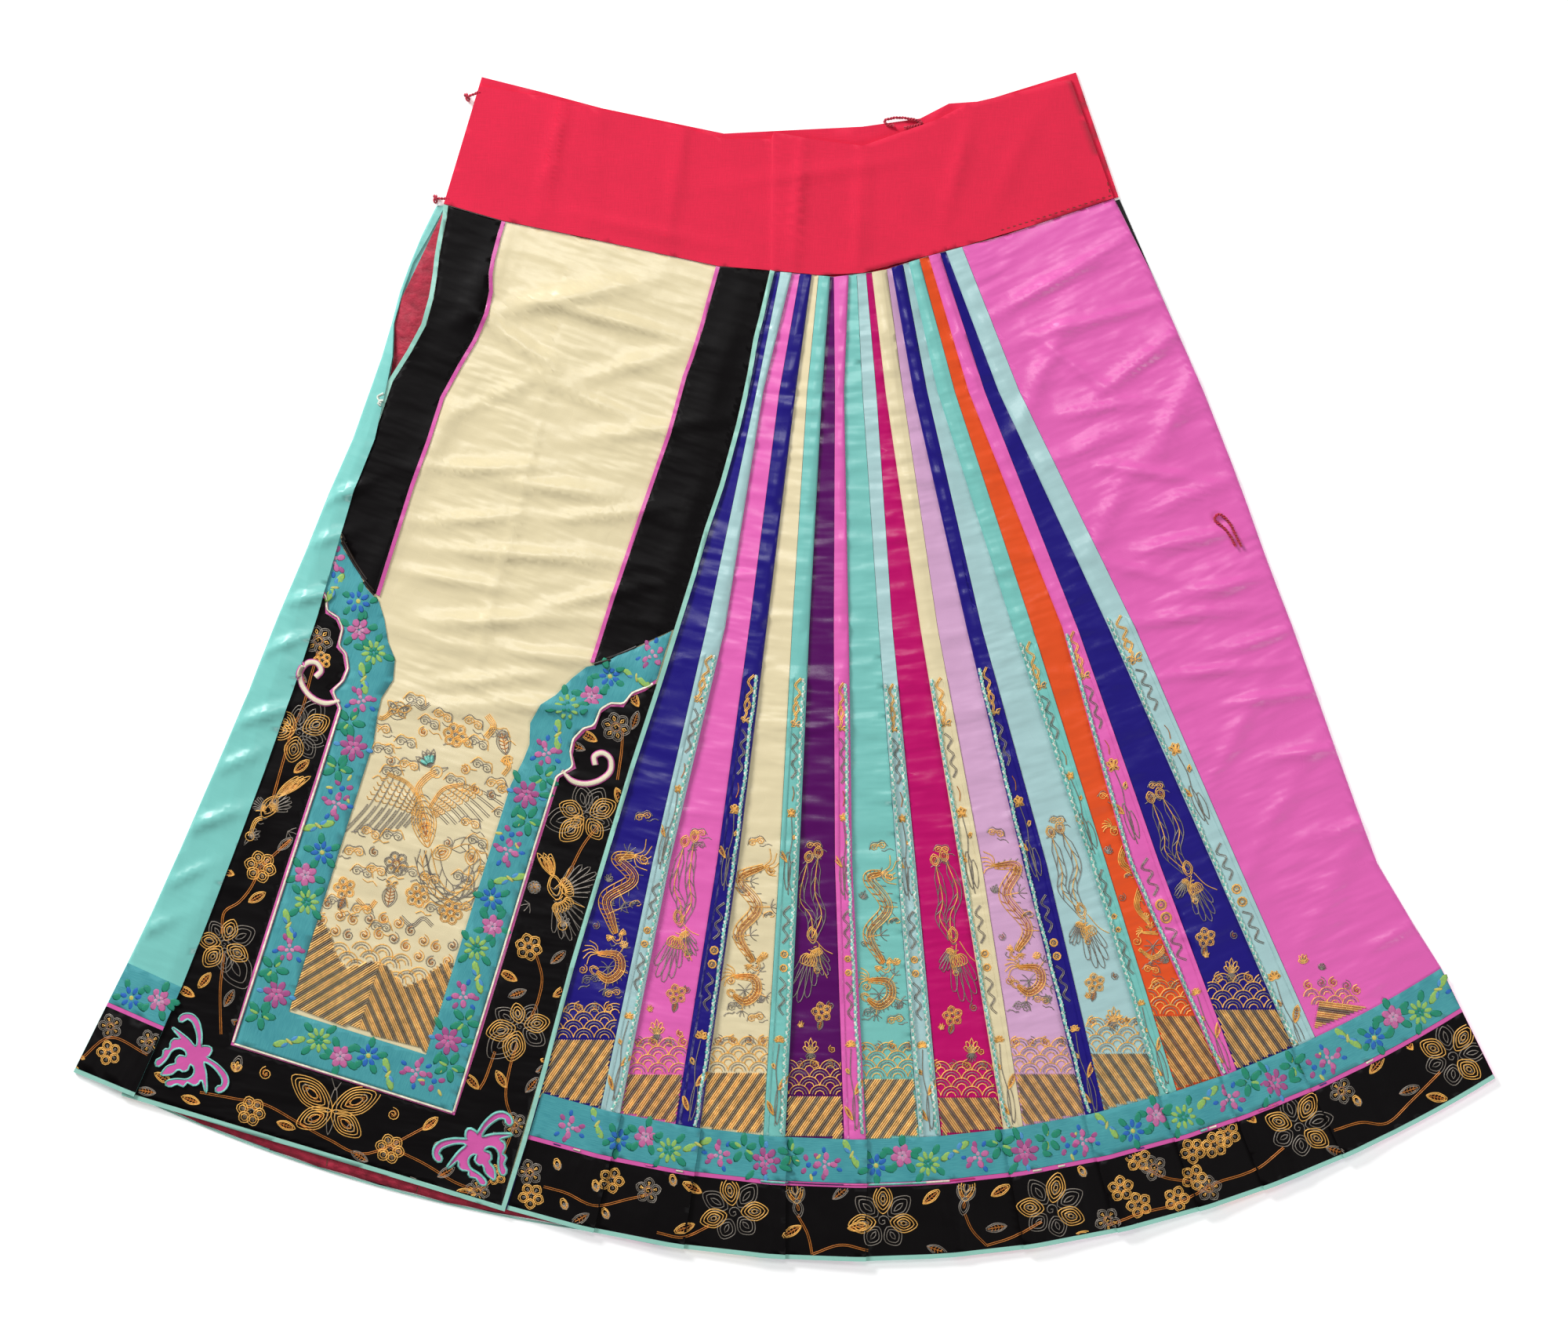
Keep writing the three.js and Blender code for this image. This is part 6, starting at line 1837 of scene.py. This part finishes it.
DOOR_RIBBON_HALF = [
    (152, 330), (140, 346), (126, 360), (108, 372), (97, 392), (86, 410), (82, 428), (86, 444), (81, 466),
    (80, 521), (80, 640), (80, 742),
]
HEM_RIBBON = {"radius": 962.2, "angles": (-0.259, 0.6)}
for side, start in ((1, 6), (-1, 12)):
    half = np.array([door_spot(side * u, v) for u, v in DOOR_RIBBON_HALF])
    sow_along("door_ribbon", half, start, flip=side)
sow_along("door_ribbon", np.array([door_spot(u, 742) for u in (62, -62)]), 4)
sow_along("hem_ribbon", hem_arc(HEM_RIBBON["radius"], np.linspace(*HEM_RIBBON["angles"], 120)), 0)
sow_along("mint_ribbon", np.array([(-603, -266), (-500, -311)]), 0)
ribbon_flowers = {host: weave_petals(host, "ribbon_brocade") for host in list(petal_rows)}
print(sum(len(rows) for rows in petal_rows.values()), "petals")

# %% [markdown]
# ## Piping, hooks and corner butterflies
#
# A double cord, pink outside and cream inside, follows the ribbon. Where the border curls in, it ends in a
# hook shaped like a cloud head. A pink satin butterfly with a couched outline fills each lower corner.

# %% Double piping
RIBBON_OUTER = [
    (156.7, 352), (148, 361), (138, 369), (134, 380), (123, 383), (116, 391), (115, 406), (107, 411),
    (101, 423), (102, 435), (108, 446), (97, 458), (97, 477), (97, 521), (98, 610), (98.5, 700), (99, 762),
]
for side in (1, -1):
    edge = np.array([door_spot(side * u, v) for u, v in RIBBON_OUTER])
    couch("door_piping_lower", [("cream", beside(stepped(edge, 3), 1.1 * side))])
foot = np.array([door_spot(u, 762) for u in (99, -99)])
couch("door_piping_lower", [("cream", beside(stepped(foot, 3), 1.1))])
SILK_OF = {"light_blue": "cream", "lilac": "cream"}
PIPING_RADIUS = 982.3
for number, colour in enumerate(GORE_COLOURS, 1):
    rows = spans[gore(number)]
    left, right = rows[-1, 1] * 1.04 - 3, rows[-1, 2] * 1.04 + 3
    angles = np.arcsin((np.linspace(left, right, 12) - FRONT_HEM["x"]) / PIPING_RADIUS)
    couch("hem_piping", [(SILK_OF.get(colour, colour), hem_arc(PIPING_RADIUS, angles))])

# %% Hooks
HOOK_PATH = [
    (101, 452), (112, 458), (124, 457), (135, 450), (141, 440), (138, 430), (130, 427), (124, 432),
    (127, 439),
]


STRAP_PROFILE = [(-0.5, 0.0), (-0.36, 0.8), (0.0, 1.0), (0.36, 0.8), (0.5, 0.0)]


def strap(name, path, width, height, finish, slot, raised=0.0):
    """A narrow band with rounded top along a path, lying on what is below."""
    line = stepped(smooth(path, steps=8), 1.2)
    rows = []
    share = np.linspace(0, 1, len(line))
    widths = width * np.clip(0.55 + share * 3, 0, 1)
    for offset, up in STRAP_PROFILE:
        edge = beside(line, widths * offset)
        rows.append([(x * MM, y * MM, land(x, y)[0] + (raised + up * height) * MM) for x, y in edge])
    points = [point for row in zip(*rows) for point in row]
    faces = []
    sides = len(STRAP_PROFILE)
    for i in range(0, len(points) - sides, sides):
        for j in range(sides):
            k = (j + 1) % sides
            faces.append((i + j, i + k, i + sides + k, i + sides + j))
    faces.append(tuple(range(sides - 1, -1, -1)))
    faces.append(tuple(range(len(points) - sides, len(points))))
    mesh = bpy.data.meshes.new(name)
    mesh.from_pydata(points, [], faces)
    lay_weave(mesh)
    mesh.shade_smooth()
    return add_object(name, mesh, finish, slot)


door_trims = []
for side, word in ((-1, "left"), (1, "right")):
    path = [door_spot(side * u, v) for u, v in HOOK_PATH]
    hook = strap(f"hook_{word}", path, 6.0, 1.0, finishes["piping"], "pink_piping")
    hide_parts(f"door_hook_{word}")
    core = strap(f"hook_core_{word}", path, 4.0, 0.5, finishes["cream_cord"], "cream_satin", 0.9)
    door_trims += [hook, core]


# %% Corner butterflies
def top_outline(node):
    """The rim of a flat node's upper face, in order."""
    work = bmesh.new()
    work.from_mesh(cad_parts[node].data)
    bmesh.ops.remove_doubles(work, verts=work.verts, dist=0.01 * MM)
    top = {face for face in work.faces if face.normal.z > 0.5}
    rim = [edge for edge in work.edges if sum(face in top for face in edge.link_faces) == 1]
    after = {}
    for edge in rim:
        for one, other in (edge.verts, reversed(edge.verts)):
            after.setdefault(one, []).append(other)
    order = [rim[0].verts[0]]
    previous, current = None, order[0]
    while True:
        options = [vertex for vertex in after[current] if vertex is not previous]
        previous, current = current, options[0]
        if current is order[0]:
            break
        order.append(current)
    outline = np.array([(vertex.co.x / MM, vertex.co.y / MM) for vertex in order])
    work.free()
    return outline


def flat_shape(name, outline, height, finish, slot):
    """A low cushion of cloth inside an outline, lying on what is below."""
    ring = [Vector((x * MM, y * MM, 0)) for x, y in outline]
    faces = [tuple(face) for face in tessellate_polygon([ring])]
    count = len(ring)
    low = [(x * MM, y * MM, land(x, y)[0]) for x, y in outline]
    high = [(x, y, z + height * MM) for x, y, z in low]
    walls = [(i, (i + 1) % count, count + (i + 1) % count, count + i) for i in range(count)]
    tops = [tuple(count + index for index in face) for face in faces]
    mesh = bpy.data.meshes.new(name)
    mesh.from_pydata(low + high, [], walls + tops + [face[::-1] for face in faces])
    work = bmesh.new()
    work.from_mesh(mesh)
    bmesh.ops.recalc_face_normals(work, faces=work.faces)
    work.to_mesh(mesh)
    work.free()
    lay_weave(mesh)
    return add_object(name, mesh, finish, slot)


for side in ("left", "right"):
    outline = smooth(top_outline(f"door_corner_{side}"), closed=True, steps=4)
    shape = flat_shape(f"butterfly_{side}", outline, 0.8, finishes["piping"], "pink_piping")
    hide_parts(f"door_corner_{side}")
    couch("door_border_lower", [("mint", outline)])
    door_trims.append(shape)
print(len(door_trims), "trims on the door")

# %% [markdown]
# ## Knots and loops
#
# Two knotted buttons and two loops once closed the skirt. They are twisted cotton cord.

# %% Twisted cords
LOOP = {"spread": 0.75, "radius": 0.78}
CORD_PITCH = 5.0
CORD_STEP = 0.7


def twisted(points, spread, radius):
    """Two strands wound round a path in space."""
    points = np.array(points, float)
    flat = smooth(points[:, :2])
    height = np.interp(np.linspace(0, 1, len(flat)), np.linspace(0, 1, len(points)), points[:, 2])
    line = stepped(flat, CORD_STEP)
    height = np.interp(np.linspace(0, 1, len(line)), np.linspace(0, 1, len(height)), height)
    phase = np.arange(len(line)) * CORD_STEP / CORD_PITCH * 2 * np.pi
    strands = []
    for half in (0, np.pi):
        side = beside(line, np.sin(phase + half) * spread)
        strands.append(np.column_stack([side, height + np.cos(phase + half) * spread]))
    return [(strand, radius) for strand in strands]


def button_knot(x, y, z, turn):
    """A ball of cord wound over and under, with a short neck."""
    t = np.linspace(0, 2 * np.pi, 90)
    ring = 2.5 + 1.25 * np.cos(3 * t)
    across, up, along = ring * np.cos(2 * t), ring * np.sin(2 * t), 1.25 * np.sin(3 * t)
    angle = math.radians(turn + 180)
    px = x + (along + 8) * math.cos(angle) - across * math.sin(angle)
    py = y + (along + 8) * math.sin(angle) + across * math.cos(angle)
    neck = [(x + s * math.cos(angle), y + s * math.sin(angle), z) for s in (-4, 2, 8)]
    return [(np.column_stack([px, py, z + up * 0.8]), 0.95), *twisted(neck, 0.7, 0.75)]


def cord_piece(name, strands, node):
    runs = [([tuple(point * MM) for point in strand], radius) for strand, radius in strands]
    made = grown(cord_mesh(name, runs), cord_nodes, thickness)
    lay_weave(made)
    made.shade_smooth()
    piece = add_object(name, made, finishes["red_cord"], "red_cord")
    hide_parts(node)
    return piece


BACK_LOOP = [
    (95, 468.5, 4.6), (88.5, 470, 4.6), (88, 473.5, 4.6), (100, 475.5, 4.6), (116, 473, 4.6),
    (118, 470, 4.6), (104, 466.5, 4.6),
]
PINK_LOOP = [
    (391, 104, 7.0), (386.5, 113, 7.0), (380, 121, 7.0), (373.6, 126, 7.0), (373.4, 130, 7.0),
    (378.5, 131.5, 7.0), (386, 124, 7.0), (391, 114, 7.0), (396, 104, 7.0),
]
knots = [
    cord_piece("knot_upper", button_knot(-267.3, 496.5, 4.6, 24), "knot_button_1"),
    cord_piece("knot_lower", button_knot(-294, 405.5, 4.6, 2), "knot_button_2"),
    cord_piece("loop_at_band", twisted(BACK_LOOP, **LOOP), "loop_back"),
    cord_piece("loop_on_pink", twisted(PINK_LOOP, **LOOP), "loop_pink"),
]
print(len(knots), "cord pieces")

# %% Small stitches and marks
band_foot = np.array([(188, 378), (236, 393), (286, 409)])
for i, place in enumerate(stepped(band_foot, 5.5)):
    couch("waistband_front", [("brown", np.array([place, place + (2.4, 0.6)]))])
for place in stepped(np.array([(262, 500), (272, 455), (283, 408)]), 6):
    couch("waistband_front", [("brown", np.array([place, place + (0.4, -3)]))])
mark = [("pale", spiral(3.4, 1.5)), ("pale", np.array([(0, 0), (-4, 6), (2, 9)]))]
couch_at("mint_panel", mark, 487, 515)
couch_at("door_border_left", mark, 490, 517)
for column, row in ((416, 1490), (531, 1525), (636, 1552), (756, 1565)):
    couch_at("lining", [("brown", np.array([(4, 22), (0, 0), (-4, -22)]))], column, row)
print(len(lines_on["waistband_front"]), "stitches on the waistband")

# %% [markdown]
# ## The cut of every cloth
#
# A cut is stated as it lay before it was sewn, so it comes from the model's flat walls and not from the
# creased cloth above. The wall's volume over its thickness is the cut's area. In slices along its length
# the same sum gives the opened width, with what is folded under counted in. Each cut is printed; the trims
# and needlework sewn to a cloth are listed with it but not used.

# %% Sheets
CLOTH_WALL = 1.2
WALLS = {"waistband_back": 2.4, "waistband_front": 2.2, "lining": 1.0, "hem_band": 0.8, "hem_ribbon": 0.8}
CUT_SLICES = 12


def slab_volume(mesh, axis, low, high):
    """Volume of a closed wall between two upright planes. The cut ends face sideways and add nothing."""
    work = bmesh.new()
    work.from_mesh(mesh)
    for place, way in ((low, -1), (high, 1)):
        parts = work.verts[:] + work.edges[:] + work.faces[:]
        plane = {"plane_co": axis * place, "plane_no": axis * way}
        bmesh.ops.bisect_plane(work, geom=parts, clear_outer=True, **plane)
    bmesh.ops.triangulate(work, faces=work.faces[:])
    work.normal_update()
    volume = sum(face.calc_center_median().z * face.normal.z * face.calc_area() for face in work.faces)
    work.free()
    return volume


def cut_of(node):
    """Width and length of the cut, and its area, in metres."""
    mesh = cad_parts[node].data
    wall = WALLS.get(node, CLOTH_WALL) * MM
    points = read_points(mesh)
    x, y = long_axis(points)
    along = points[:, 0] * x + points[:, 1] * y
    places = np.linspace(along.min(), along.max(), CUT_SLICES + 1)
    slices = [slab_volume(mesh, Vector((x, y, 0)), low, high) / wall for low, high in zip(places, places[1:])]
    length = np.ptp(along)
    width = max(slices) / (length / CUT_SLICES)
    return (round(width, 4), round(length, 4)), round(sum(slices), 5)


def declare(node, with_pieces=()):
    flat, area = cut_of(node)
    list(with_pieces)
    print(node, flat, area)


needlework = {}
for host in list(lines_on):
    sewn = sew(host, pieces[host]["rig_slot"])
    if sewn:
        needlework[host] = sewn


def on(*nodes):
    """Trims named here, with their needlework and woven flowers."""
    found = []
    for node in nodes:
        found.append(pieces[node])
        found += [extra[node] for extra in (needlework, ribbon_flowers) if node in extra]
    return found


def work_on(node):
    return [needlework[node]] if node in needlework else []


declare("waistband_back")
declare("waistband_front", with_pieces=[*work_on("waistband_front"), *knots[:3]])
declare("back_door")
declare("back_pleats")
declare("lining", with_pieces=[*work_on("lining"), pieces["back_hem_binding"]])
declare("mint_panel",
        [*work_on("mint_panel"), *on("mint_ribbon", "mint_piping", "mint_band", "mint_binding")])
declare("pink_panel", [*work_on("pink_panel"), knots[3]])
declare("door_panel", with_pieces=[
    *work_on("door_panel"), *door_trims,
    *on("door_border_left", "door_border_right", "door_border_lower", "door_ribbon", "door_piping_left",
        "door_piping_right", "door_piping_lower", "door_binding"),
])
for number in range(1, len(GORE_COLOURS) + 1):
    declare(gore(number), with_pieces=work_on(gore(number)))
declare("hem_band",
        with_pieces=[*work_on("hem_band"), *on("hem_piping", "hem_binding")])
declare("hem_ribbon", with_pieces=on("hem_ribbon")[1:])
print(sum(len(piece.data.polygons) for piece in needlework.values()), "faces of needlework")

# %% Table
TABLE_HALF = 7
table_mesh = bpy.data.meshes.new("table")
corners = [(x * TABLE_HALF, y * TABLE_HALF, 0) for x, y in ((-1, -1), (1, -1), (1, 1), (-1, 1))]
table_mesh.from_pydata(corners, [], [(0, 1, 2, 3)])
table = bpy.data.objects.new("table", table_mesh)
bpy.context.scene.collection.objects.link(table)
paper = Finish("white_paper", Base_Color=(1.0, 1.0, 1.0, 1), Roughness=0.9, Emission_Color=(1, 1, 1, 1),
               Emission_Strength=0.22)
table.data.materials.append(paper.material)
table.location.z = -0.0002

# %% Sizes
made = [item for item in bpy.context.scene.objects if item.type == "MESH" and "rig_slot" in item]
triangles = [sum(len(face.vertices) - 2 for face in item.data.polygons) for item in made]
print("triangles", sum(triangles), "largest", max(triangles))
